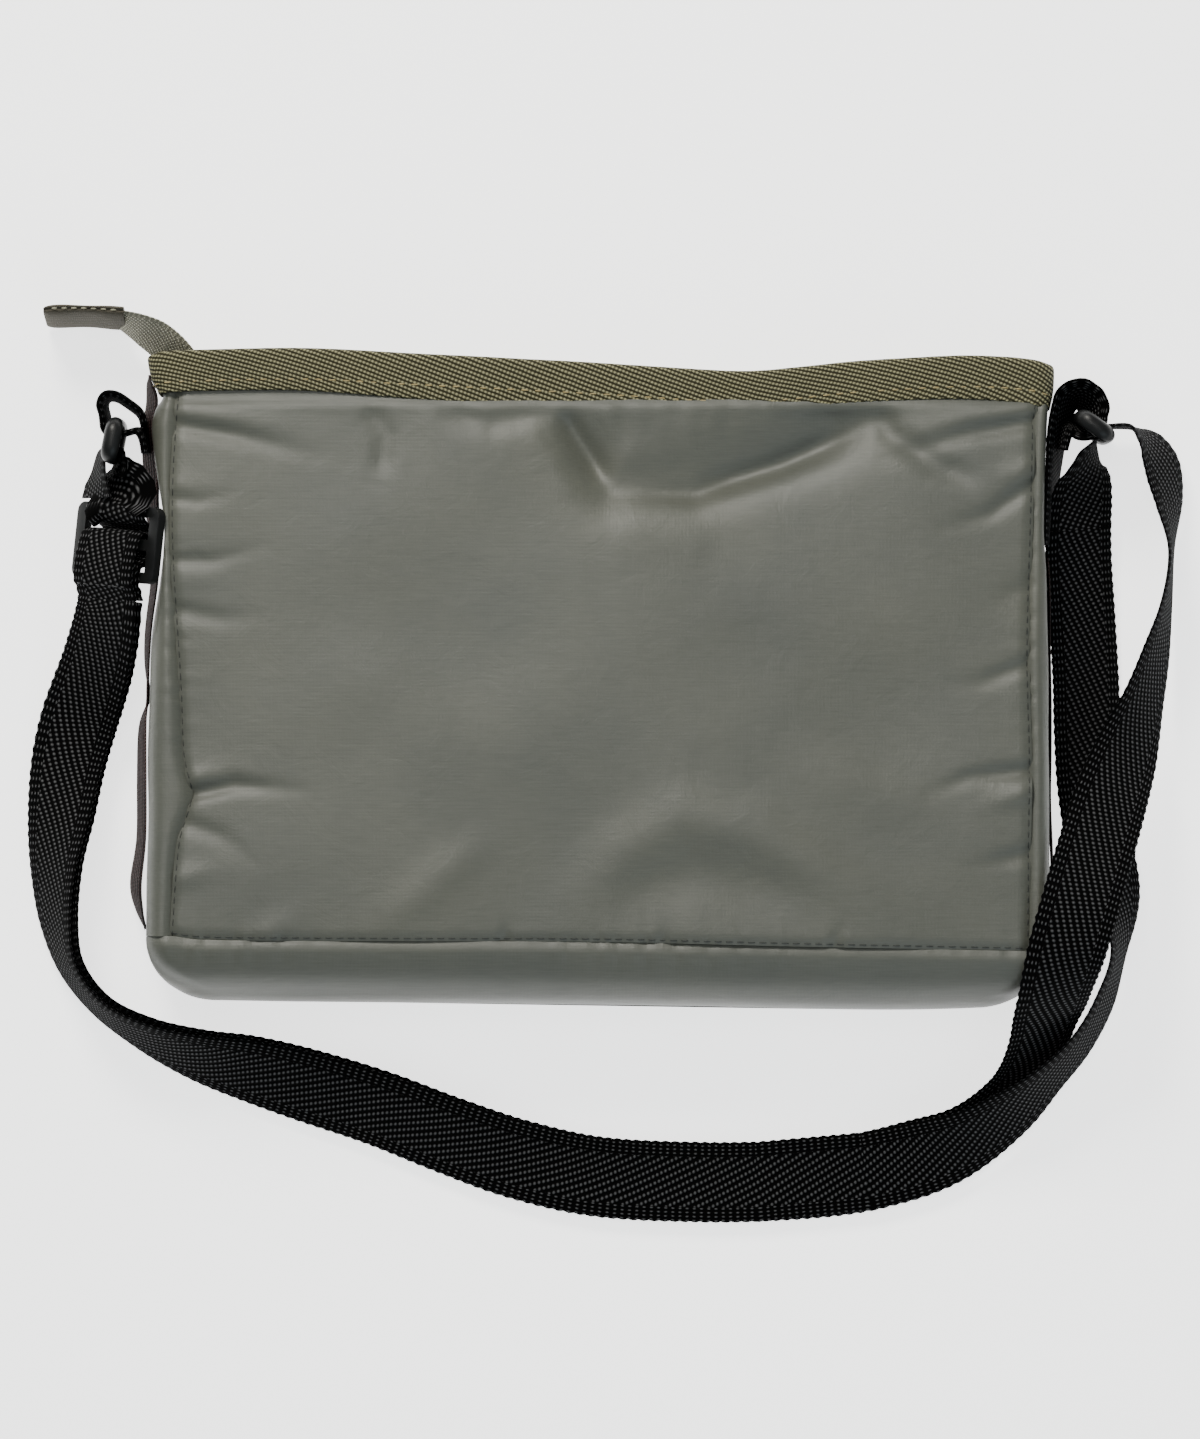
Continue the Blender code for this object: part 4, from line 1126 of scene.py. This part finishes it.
FOLDS = (
    Fold(((-18, 84), (-6, 72), (3, 60), (28, 60), (58, 70), (90, 84)), 9.0, -3.8, 0.2),
    Fold(((-4, 80), (24, 70), (52, 78)), 9.0, -1.4, 0.3),
    Fold(((-14, 84), (-6, 72), (2, 59)), 3.0, -1.8, 0.3),
    Fold(((4, 58), (28, 57), (56, 67), (88, 82)), 3.2, -1.5, 0.3),
    Fold(((-22, 80), (-14, 66), (-6, 54)), 5.0, 0.5, 0.3),
    Fold(((2, 51), (16, 47), (36, 43)), 9.0, 0.4),
    Fold(((28, 60), (52, 65), (76, 74)), 4.0, -1.3),
    Fold(((-52, 84), (-34, 79), (-14, 84)), 4.0, -1.3),
    Fold(((-72, 86), (-66, 75), (-68, 62)), 3.4, -0.8),
    Fold(((-132, 79), (-112, 75.5), (-88, 69)), 2.6, -1.7, 0.5, True),
    Fold(((-132, 83), (-108, 80), (-84, 76)), 4.2, 0.8, 0.5, True),
    Fold(((-132, 56), (-124, 55), (-112, 57)), 1.8, -0.8, 0.6, True),
    Fold(((-132, 60), (-118, 61)), 2.4, 0.3, 0.6, True),
    Fold(((-132, 37), (-118, 37), (-104, 41)), 2.2, -1.0, 0.6, True),
    Fold(((-132, 32), (-114, 31)), 3.0, 0.4, 0.6, True),
    Fold(((-132, 22), (-116, 19), (-104, 20)), 2.6, -0.9, 0.6, True),
    Fold(((-128, -35), (-112, -31.5), (-92, -33)), 2.2, -2.0, 0.6, True),
    Fold(((-127, -30), (-112, -26)), 3.0, 0.8, 0.6, True),
    Fold(((-130, -42), (-116, -47), (-106, -54)), 2.6, -1.0, 0.6, True),
    Fold(((-131, -60), (-114, -57)), 3.2, 0.8, 0.6, True),
    Fold(((134, 80), (112, 76), (86, 68)), 2.8, -2.0, 0.5, True),
    Fold(((134, 84), (114, 81), (94, 76)), 4.0, 1.0, 0.5, True),
    Fold(((82, 88), (88, 76), (102, 66), (118, 60)), 4.2, -1.6, 0.3),
    Fold(((133, 61), (118, 51), (104, 47)), 2.4, -1.5, 0.6, True),
    Fold(((133, 66), (116, 60)), 3.6, 1.0, 0.6, True),
    Fold(((132, 30), (118, 24)), 3.0, -0.8, 0.6, True),
    Fold(((132, 6), (116, 0), (106, -1)), 2.4, -1.3, 0.6, True),
    Fold(((132, -27), (112, -29), (100, -34)), 2.2, -1.8, 0.6, True),
    Fold(((132, -33), (114, -38)), 3.0, 1.2, 0.6, True),
    Fold(((132, -52), (114, -56)), 2.4, -1.4, 0.6, True),
    Fold(((-16, -76), (6, -52), (24, -41), (48, -46), (92, -72)), 9.0, 1.7, 0.3),
    Fold(((2, -68), (28, -60), (64, -68)), 9.0, -1.3, 0.4),
    Fold(((-71, -78), (-50, -60), (-31, -45)), 6.0, 0.8, 0.4),
    Fold(((-104, -79), (-88, -68)), 5.0, 0.9, 0.5, True),
    Fold(((-30, -79), (-28, -72)), 1.6, -0.6, 0.6, True),
    Fold(((18, -80), (20, -73)), 1.8, -0.7, 0.6, True),
    Fold(((70, -81), (74, -72)), 1.8, -0.7, 0.6, True),
    Fold(((52, -20), (84, -34), (110, -40)), 9.0, 0.8, 0.4),
    Fold(((-90, 10), (-60, -4), (-40, -30)), 12.0, 0.7, 0.4),
    Fold(((30, 20), (60, 6), (84, -12)), 10.0, -0.6, 0.4),
)


def ripples(x: np.ndarray, y: np.ndarray) -> np.ndarray:
    """Soft uneven lie of the cloth: a few long waves that cross, in millimetres."""
    waves = ((0.055, 0.021, 0.4, 0.42), (-0.031, 0.062, 1.9, 0.36), (0.083, -0.048, 2.7, 0.2),
             (0.021, 0.118, 4.1, 0.14), (0.142, 0.033, 5.2, 0.09), (-0.09, 0.151, 0.9, 0.07))
    return sum(rise * np.sin(fx * x + fy * y + turn) for fx, fy, turn, rise in waves)


def seam_puckers(distance: np.ndarray, along: np.ndarray) -> np.ndarray:
    """Small gathers next to a seam, in millimetres, fading with the distance from it."""
    gather = 0.5 * np.sin(along * 0.74 + 1.3 * np.sin(along * 0.11)) + 0.4 * np.sin(along * 1.31)
    strength = 0.5 + 0.5 * np.sin(along * 0.047 + 0.8)
    return 0.34 * gather * strength * np.exp(-distance / 4.5)


@dataclass
class BagShell:
    """The five sewn nylon panels and their topstitching."""

    cell: float = 1.35 * MM
    back_corner: float = 6.5 * MM
    front_corner: float = 4.0 * MM
    full_roll: float = math.radians(89.5)
    foot_from: float = -90.0 * MM
    crown: float = 2.2
    fold_share: float = 1.1
    side_groove: float = 1.3
    base_groove: float = 1.1
    groove_width: float = 1.5

    def build(self) -> None:
        """Sew the shell together panel by panel."""
        self.build_back()
        self.build_front()
        for side, name in ((-1, "left"), (1, "right")):
            self.build_gusset(side, name)
        self.build_base()
        self.build_stitches()

    def back_surface(self, x: np.ndarray, y: np.ndarray) -> np.ndarray:
        """Height of the dressed back panel at places on it."""
        xm, ym = x / MM, y / MM
        left, right = seam_x(y, -1) / MM, seam_x(y, 1) / MM
        base = base_seam_y(x) / MM
        side_gap = np.minimum(xm - left, right - xm)
        base_gap = ym - base
        crown = self.crown * (1 - (xm / 134) ** 2) * np.clip(1 - ((ym - 4) / 96) ** 2, 0, 1)
        lift = sum(fold.height(xm, ym) for fold in FOLDS)
        under_rim = 1 - smoothstep(80, 87, ym)
        height = crown + (self.fold_share * lift + ripples(xm, ym)) * under_rim
        height += (seam_puckers(side_gap, ym) + seam_puckers(base_gap, xm)) * under_rim
        height += 1.6 * seam_puckers(np.maximum(86 - ym, 0) * 0.6, 0.6 * xm + 9) * under_rim
        height -= self.side_groove * np.exp(-(side_gap / self.groove_width) ** 2)
        height -= self.base_groove * np.exp(-(base_gap / self.groove_width) ** 2)
        return panel_height(y) - rim_inset(y) + height * MM

    def build_back(self) -> None:
        """The back panel, creased where the sides and the rim pull it."""

        def spots(s: np.ndarray, t: np.ndarray) -> tuple[np.ndarray, np.ndarray]:
            """Places on the panel."""
            y = BASE_SEAM_Y + (RIM_Y - RIM_COVER - BASE_SEAM_Y) * t
            for _ in range(3):
                x = seam_x(y, -1) + (seam_x(y, 1) - seam_x(y, -1)) * s
                y = base_seam_y(x) + (rim_top_y(x) - RIM_COVER - base_seam_y(x)) * t
            return x, y

        def place(s: np.ndarray, t: np.ndarray) -> np.ndarray:
            """Points of the outer face."""
            x, y = spots(s, t)
            return np.stack([x, y, self.back_surface(x, y)], axis=1)

        def chart(s: np.ndarray, t: np.ndarray) -> np.ndarray:
            """Texture places in millimetres."""
            return np.stack(spots(s, t), axis=1) / MM

        obj = shaped_grid("back_panel_cloth", int(0.262 / self.cell), int(0.178 / self.cell), place,
                          chart)
        face_along(obj, Vector((0, 0, 1)))
        self.finish(obj, "back_panel")

    def build_front(self) -> None:
        """The front panel, flat where it lies."""

        def place(s: np.ndarray, t: np.ndarray) -> np.ndarray:
            """Points of the lower face."""
            x = (2 * s - 1) * SEAM_X
            y = BASE_SEAM_Y + (rim_top_y(x) - RIM_COVER - BASE_SEAM_Y) * t
            lie = 0.25 + 0.2 * np.sin(x * 90) * np.sin(y * 70 + 1)
            edge = 0.5 * np.exp(-((SEAM_X - np.abs(x)) / (1.5 * MM)) ** 2)
            return np.stack([x, y, rim_inset(y) + (lie + edge) * MM], axis=1)

        obj = shaped_grid("front_panel_cloth", 90, 64, place, even_chart(262, 178))
        face_along(obj, Vector((0, 0, -1)))
        self.finish(obj, "front_panel")

    def build_gusset(self, side: int, name: str) -> None:
        """A gusset from the back seam, round the bag's side, to the front seam."""

        def place(s: np.ndarray, t: np.ndarray) -> np.ndarray:
            """Points of the outer face: s runs up the bag and t from the back seam to the front."""
            x_end = np.full_like(s, side * (SEAM_X + 3 * MM))
            low = base_seam_y(x_end)
            top = rim_top_y(x_end) - RIM_COVER
            y = low + (top - low) * s
            start = np.abs(seam_x(y, side))
            inset = rim_inset(y)
            outer = SEAM_X + side_reach(y, side) - inset
            high = panel_height(y) - inset
            radius = np.minimum(self.back_corner, (outer - start) * 0.98)
            flat = np.maximum(outer - radius - start, 0)
            wall = high - inset - radius - self.front_corner
            bend = radius * math.pi / 2
            last_bend = self.front_corner * math.pi / 2
            run = t * (flat + bend + wall + last_bend + SEAM_LAP) - SEAM_LAP
            x = start + np.minimum(run, flat)
            z = high.copy()
            turn = np.clip((run - flat) / bend, 0, 1) * math.pi / 2
            x = np.where(run > flat, outer - radius + radius * np.sin(turn), x)
            z = np.where(run > flat, high - radius + radius * np.cos(turn), z)
            last = np.clip((run - flat - bend - wall) / last_bend, 0, 1) * math.pi / 2
            x = x - self.front_corner * (1 - np.cos(last))
            z = z - np.clip(run - flat - bend, 0, wall) - self.front_corner * np.sin(last)
            tuck = np.clip(-run / SEAM_LAP, 0, 1)
            seam = np.exp(-(np.maximum(run, 0) / (1.6 * MM)) ** 2) + 0.9 * tuck
            gather = seam_puckers(np.maximum(run, 0) / MM, y / MM + 3)
            gather = gather * (1 - smoothstep(80 * MM, 87 * MM, y))
            z = z + (gather - 1.2 * seam) * MM
            sway = 0.35 * np.sin(y / MM * 0.16 + side) * np.sin(t * math.pi) ** 2
            x = x + (sway - 0.35) * MM * np.sin(t * math.pi)
            return np.stack([side * x, y, np.maximum(z, inset + FLOOR_GAP)], axis=1)

        obj = shaped_grid(f"side_gusset_{name}_cloth", 130, 36, place, even_chart(178, 60))
        face_along(obj, Vector((side, 0, 0)))
        self.finish(obj, f"side_gusset_{name}")

    def build_base(self) -> None:
        """The bottom panel: it rolls from the back seam, round the base, to the front seam."""

        def place(s: np.ndarray, t: np.ndarray) -> np.ndarray:
            """Points of the outer face: s goes round the bag and t down the roll."""
            roll = t * self.full_roll
            half = BASE_DEPTH / 2 * np.cos(roll)
            draw = BASE_ROLL * (1 - np.cos(roll))
            depth = np.where(np.cos(s * 2 * math.pi) >= 0, SIDE_DEPTH[1], SIDE_DEPTH[-1]) - 0.3 * MM
            reach = SEAM_X + depth - draw
            radius = np.minimum(6 * MM + draw * 0.75, half * 0.98)
            x, z, _ = rounded_outline(s, reach, reach, half, radius)
            x = np.clip(x, -reach, reach)
            seam = base_seam_y(x)
            foot = -curve_through([(-140, 99), (-124, 97.6), (-92, 98), (-30, 98.6), (30, 99.4),
                                   (76, 100.4), (106, 100.2), (140, 98.6)], x)
            y = seam + (foot - seam) * np.sin(roll)
            top = smoothstep(0.0, 1.0, z / (BASE_DEPTH / 2))
            gather = 1.8 * seam_puckers((seam - y) / MM * 0.7, x / MM) * top
            sag = 0.5 * np.sin(x / MM * 0.045 + 1) * np.sin(roll * 1.4) * top
            groove = np.exp(-((seam - y) / (self.groove_width * MM)) ** 2) * top
            z = z + (gather + sag - self.base_groove * groove) * MM
            return np.stack([x, y, np.maximum(z + BASE_DEPTH / 2, FLOOR_GAP)], axis=1)

        obj = shaped_grid("bottom_panel_cloth", 340, 26, place, even_chart(630, 34))
        with editing(obj):
            bpy.ops.mesh.remove_doubles(threshold=CLOSE_WELD)
            bpy.ops.mesh.select_all(action="DESELECT")
            bm = bmesh.from_edit_mesh(obj.data)
            for edge in bm.edges:
                low = all(vert.co.y < self.foot_from for vert in edge.verts)
                edge.select = edge.is_boundary and low
            bmesh.update_edit_mesh(obj.data)
            bpy.ops.mesh.edge_face_add()
            bpy.ops.mesh.select_all(action="SELECT")
            bpy.ops.mesh.normals_make_consistent(inside=False)
        face_along(obj, Vector((0, -1, 0)))
        self.finish(obj, "bottom_panel")

    def finish(self, obj: bpy.types.Object, node: str) -> None:
        """Thicken, dress and register one panel."""
        thicken(obj, SHELL_THICK)
        dress(obj, NYLON)
        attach(obj, "bag")
        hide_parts(node)
        LOG.info("made %s", obj.name)

    def sew(self, name: str, x: np.ndarray, y: np.ndarray) -> None:
        """Sew dark topstitching onto the back panel along a line."""
        z = self.back_surface(x, y) + 0.12 * MM
        row = stitch_row(name, np.stack([x, y, z], axis=1), np.tile([0, 0, 1.0], (len(x), 1)),
                         DARK_THREAD, pitch=3.4 * MM, share=0.75, radius=0.22 * MM)
        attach(row, "bag")

    def build_stitches(self) -> None:
        """Topstitching down both side seams and along the bottom seam."""
        for side, name in ((-1, "left"), (1, "right")):
            y = np.linspace(BASE_SEAM_Y + 1 * MM, RIM_Y - 14 * MM, 160)
            self.sew(f"side_seam_{name}_stitches", seam_x(y, side) - side * 0.9 * MM, y)
        left, right = (seam_x(np.array([BASE_SEAM_Y]), side)[0] for side in (-1, 1))
        x = np.linspace(left, right, 260)
        self.sew("bottom_seam_stitches", x, base_seam_y(x) + 0.9 * MM)


# ================================================================ mouth: binding and zip

@dataclass
class Mouth:
    """The bound edge of the mouth and the zip inside it."""

    around: int = 620
    tab_lean: float = math.tan(math.radians(9))

    def loop_point(self, share: np.ndarray, y: np.ndarray, inset: np.ndarray) -> tuple:
        """Place on the mouth's rounded outline.

        Args:
            share: how far round the outline, from 0 to 1, starting mid-right.
            y: places up the bag, for the outline's size.
            inset: how far inside the outline the point lies.

        Returns:
            The point's x and z, and the distance round in metres.
        """
        middle_z = RIM_DEPTH / 2 + (RIM_Y - y) * RIM_TAPER
        radius = np.maximum(5.0 * MM - inset, 0.6 * MM)
        right, left = (SEAM_X + side_reach(y, side) - inset for side in (1, -1))
        x, z, run = rounded_outline(share, right, left, middle_z - inset, radius)
        return x, z + middle_z, run

    def build(self) -> None:
        """Make the binding, its stitching, the zip and its tail."""
        self.build_binding()
        self.build_tapes()
        self.build_coils()
        self.build_tail()
        self.build_end_tab()

    def build_binding(self) -> None:
        """Webbing folded over the mouth's edge, with an uneven lower edge."""
        # Distance below the fold and inset from the outside, round the folded webbing's section.
        section = catmull(np.array([
            (13.4, 0.55), (13.2, 0.1), (12.0, 0.0), (8.0, -0.12), (4.0, -0.1), (1.6, 0.0),
            (0.5, 0.35), (0.0, 1.1), (0.0, 2.4), (0.5, 3.3), (1.6, 3.6), (6.0, 3.7), (12.0, 3.6),
            (12.8, 3.2), (12.4, 2.6), (6.0, 2.55), (2.4, 2.5), (1.5, 1.85), (2.4, 1.15),
            (6.0, 1.1), (12.6, 1.1), (13.4, 0.55)]), 3) * MM
        steps = len(section) - 1
        drops = distances(section)

        def place(s: np.ndarray, t: np.ndarray) -> np.ndarray:
            """Points of the folded webbing: s goes round the mouth and t round the section."""
            index = np.rint(t * steps).astype(int)
            drop, inset = section[index, 0], section[index, 1]
            y = RIM_Y - drop
            x, z, run = self.loop_point(s, y, inset)
            wave = 0.25 * np.sin(run / MM * 0.21) + 0.12 * np.sin(run / MM * 0.83 + 1)
            scallop = 0.16 * np.sin(run / MM * 2 * math.pi / 2.6) * smoothstep(0.011, 0.0134, drop)
            spread = 1 + 0.06 * np.sin(run / MM * 0.033 + 2)
            y = rim_top_y(x) - drop * spread + (scallop + 0.1 * wave) * MM
            puff = 0.35 * wave * smoothstep(0.002, 0.007, drop)
            puff = puff * (1 - smoothstep(0.011, 0.0134, drop)) * (inset < 1 * MM)
            z = z + np.sign(z - RIM_DEPTH / 2) * puff * MM
            return np.stack([x, y, np.maximum(z, FLOOR_GAP / 2)], axis=1)

        def chart(s: np.ndarray, t: np.ndarray) -> np.ndarray:
            """Distance round the mouth and along the section, in millimetres."""
            index = np.rint(t * steps).astype(int)
            return np.stack([s * 588, drops[index] / MM], axis=1)

        obj = shaped_grid("rim_binding_webbing", self.around, steps, place, chart)
        with editing(obj):
            bpy.ops.mesh.remove_doubles(threshold=CLOSE_WELD)
            bpy.ops.mesh.normals_make_consistent(inside=False)
        smooth(obj, 50)
        dress(obj, RIM_TWILL)
        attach(obj, "bag")
        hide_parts("rim_binding")
        share = np.linspace(0, 1, 700)
        drop = np.full_like(share, 9.6 * MM)
        x, z, _ = self.loop_point(share, RIM_Y - drop, np.full_like(share, -0.05 * MM))
        y = rim_top_y(x) - drop
        x2, z2, _ = self.loop_point(share, RIM_Y - drop, np.full_like(share, -2.0 * MM))
        normal = unit(np.stack([x2 - x, 0 * x, z2 - z], axis=1))
        keep = z > 0.4 * MM
        row = stitch_row("rim_stitches", np.stack([x, y, z], axis=1)[keep], normal[keep],
                         TAN_THREAD, radius=0.26 * MM, share=0.6)
        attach(row, "bag")
        LOG.info("made %s", obj.name)

    def build_tapes(self) -> None:
        """The two zip tapes: a woven strip each, next to the coils."""
        for side in ("back", "front"):
            low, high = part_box(f"zip_tape_{side}")
            x = np.linspace(low[0], high[0], 40)
            middle_y = (low[1] + high[1]) / 2
            middle_z = (low[2] + high[2]) / 2
            points = np.stack([x, np.full_like(x, middle_y), np.full_like(x, middle_z)], axis=1)
            across = np.tile([0, 0, 1.0], (len(x), 1))
            obj = Webbing(f"zip_tape_{side}_cloth", points, across, ZIP_TAPE,
                          width=high[2] - low[2], thick=high[1] - low[1], step=2 * MM, sides=6,
                          scallop=0.0).build()
            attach(obj, "bag")
            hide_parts(f"zip_tape_{side}")

    def build_coils(self) -> None:
        """Each coil: a wound monofilament with its turns 1.5 mm apart."""
        pitch, wire, overlap, steps_round = 1.5 * MM, 0.33 * MM, 0.5 * MM, 8
        for side, sign in (("back", 1), ("front", -1)):
            low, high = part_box(f"zip_coil_{side}")
            turns = int((high[0] - low[0]) / pitch)
            middle_y, middle_z = (low[1] + high[1]) / 2, (low[2] + high[2]) / 2
            half_y = (high[1] - low[1]) / 2 - wire
            half_z = (high[2] - low[2]) / 2 - wire + overlap
            shift = 0.0 if sign > 0 else pitch / 2
            bm = bmesh.new()
            previous = None
            for index in range(turns * steps_round + 1):
                angle = index / steps_round * 2 * math.pi
                x = min(low[0] + shift + index / steps_round * pitch, high[0])
                centre = Vector((x, middle_y + half_y * math.sin(angle),
                                 middle_z - sign * overlap + half_z * math.cos(angle)))
                outward = Vector((0, math.sin(angle), math.cos(angle)))
                corners = [bm.verts.new(centre + outward * (wire * math.cos(a))
                                        + Vector((wire * math.sin(a), 0, 0)))
                           for a in np.arange(4) * math.pi / 2 + math.pi / 4]
                for k in range(4 if previous else 0):
                    bm.faces.new((previous[k], previous[(k + 1) % 4], corners[(k + 1) % 4],
                                  corners[k]))
                if not previous:
                    bm.faces.new(corners)
                previous = corners
            bm.faces.new(previous)
            bmesh.ops.recalc_face_normals(bm, faces=bm.faces)
            obj = object_from(bm, f"zip_coil_{side}_turns")
            dress(obj, COIL_NYLON)
            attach(obj, "bag")
            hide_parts(f"zip_coil_{side}")
        LOG.info("made the coils")

    def build_tail(self) -> None:
        """The zip's tail: herringbone tape that climbs out of the mouth and turns its face up."""
        route = [(-128.6, 98.4, 13.2, 60), (-132.8, 102.4, 13.8, 56), (-137.2, 105.9, 14.0, 57),
                 (-142.2, 108.6, 14.2, 64), (-148.6, 111.4, 13.8, 76)]
        rows = catmull(np.array(route), 8)
        points = rows[:, :3] * MM
        lean = np.radians(rows[:, 3:4])
        heading = unit(np.gradient(points, axis=0))
        level = unit(np.stack([heading[:, 1], -heading[:, 0], 0 * heading[:, 0]], axis=1))
        across = unit(level * np.cos(lean) + np.array([0, 0, 1.0]) * np.sin(lean))
        obj = Webbing("zip_tail_webbing", points, across, TAIL_TAPE, width=19.2 * MM,
                      thick=1.0 * MM, step=0.5 * MM, scallop=0.1 * MM,
                      scallop_pitch=1.6 * MM).build()
        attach(obj, "bag")
        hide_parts("zip_tail_tape")
        LOG.info("made %s", obj.name)

    def build_end_tab(self) -> None:
        """The folded nylon tab: two layers pinched at the outer end, stitched along the top."""
        low, high = (Vector(corner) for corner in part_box("zip_end_tab"))
        length = high.x - low.x
        middle = (low + high) / 2

        def place(s: np.ndarray, t: np.ndarray) -> np.ndarray:
            """Points of the folded tab: s runs along it and t round its section."""
            angle = t * 2 * math.pi
            end = np.minimum(s, 0.5) * 2
            puff = 0.55 + 0.45 * np.sqrt(np.clip(1 - (1 - np.minimum(s * 7, 1)) ** 2, 0, 1))
            height = (high.z - low.z) / 2 * (0.94 + 0.06 * end) * (0.9 + 0.1 * puff)
            lobe = np.sign(np.sin(angle)) * np.abs(np.sin(angle)) ** 0.6
            flank = np.sign(np.cos(angle)) * np.abs(np.cos(angle)) ** 0.5
            thick = 1.75 * MM * puff * (1 + 0.12 * np.sin(s * 9))
            groove = 1 - 0.45 * np.exp(-(flank / 0.16) ** 2) * (lobe > 0.5)
            z = middle.z + height * lobe * groove ** 0.12
            sway = 0.5 * MM * np.sin(s * 3 + 0.6)
            y = middle.y + thick * flank + (z - middle.z) * self.tab_lean + sway
            return np.stack([low.x + length * s, y, z], axis=1)

        obj = shaped_grid("zip_end_tab_cloth", 48, 64, place, even_chart(length / MM, 56),
                          wrap=True)
        smooth(obj, 50)
        dress(obj, END_TAB)
        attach(obj, "bag")
        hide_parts("zip_end_tab")
        x = np.linspace(low.x + 2 * MM, high.x - 1 * MM, 20)
        sway = 0.5 * MM * np.sin((x - low.x) / length * 3 + 0.6)
        y = middle.y + self.tab_lean * (high.z - middle.z) + sway
        z = np.full_like(x, high.z + 0.05 * MM)
        row = stitch_row("zip_end_tab_stitches", np.stack([x, y, z], axis=1),
                         np.tile([0, 0, 1.0], (len(x), 1)), OLIVE_THREAD, pitch=3.0 * MM)
        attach(row, "bag")
        LOG.info("made %s", obj.name)

    def dress_metal(self) -> None:
        """Finish the CAD slider and puller, which are already the right shape."""
        for node in ("zip_slider", "zip_pull"):
            dress(bpy.data.objects[node], ENAMEL)


# ================================================================ stage

@dataclass
class Studio:
    """Pale floor, soft lights and a camera straight above."""

    height: float = 3.0
    sensor: float = 24.0
    frame_height: float = 0.4440
    aim: tuple[float, float] = (-0.0006, -0.0116)
    floor_glow: float = 2.1

    def build(self) -> None:
        """Set the camera, lights, world and floor."""
        self.build_camera()
        self.build_lights()
        self.build_floor()

    def build_camera(self) -> None:
        """A long lens straight above the bag."""
        data = bpy.data.cameras.new("camera")
        data.sensor_fit = "VERTICAL"
        data.sensor_height = self.sensor
        data.lens = self.sensor * self.height / self.frame_height
        data.clip_end = 20
        camera = bpy.data.objects.new("camera", data)
        camera.location = (*self.aim, self.height)
        bpy.context.scene.collection.objects.link(camera)
        bpy.context.scene.camera = camera

    def build_lights(self) -> None:
        """A large soft key from above the mouth, a fill, and a bright world."""
        for name, place, size, power, colour in (
            ("key", (-0.45, 1.25, 1.15), 0.5, 30.0, (1.0, 0.97, 0.9)),
            ("top", (-0.25, 0.45, 2.4), 0.7, 11.5, (1.0, 0.99, 0.95)),
            ("fill", (0.6, -1.0, 1.2), 1.2, 6.5, (0.8, 0.93, 1.0)),
        ):
            data = bpy.data.lights.new(name, "AREA")
            data.size = size
            data.energy = power
            data.color = colour
            light = bpy.data.objects.new(name, data)
            light.location = place
            aim = Vector((0, 0, 0.02)) - Vector(place)
            light.rotation_euler = aim.to_track_quat("-Z", "Y").to_euler()
            bpy.context.scene.collection.objects.link(light)
        world = bpy.data.worlds.new("studio")
        world.use_nodes = True
        sky = world.node_tree.nodes["Background"].inputs
        sky["Color"].default_value = (0.88, 0.96, 1.0, 1.0)
        sky["Strength"].default_value = 0.3
        bpy.context.scene.world = world

    def build_floor(self) -> None:
        """A wide pale sheet under the bag."""
        bpy.ops.object.select_all(action="DESELECT")
        bpy.ops.mesh.primitive_plane_add(size=8, location=(0, 0, -0.0002))
        floor = bpy.context.object
        floor.name = "floor"
        material, _, shader = new_material("pale floor")
        shader.inputs["Base Color"].default_value = (0.93, 0.93, 0.93, 1.0)
        shader.inputs["Roughness"].default_value = 0.9
        shader.inputs["Emission Color"].default_value = (1.0, 1.0, 1.0, 1.0)
        shader.inputs["Emission Strength"].default_value = self.floor_glow
        floor.data.materials.append(material)


def main() -> None:
    """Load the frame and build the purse."""
    logging.basicConfig(level=logging.INFO, format="%(message)s")
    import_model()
    for make in (herringbone_group, twill_group, fine_weave_group, tone_and_sheen_group):
        make()
    Studio().build()
    Strap().build()
    Hardware().build()
    SideWebbing().build()
    BagShell().build()
    mouth = Mouth()
    mouth.build()
    mouth.dress_metal()


if __name__ == "__main__":
    main()
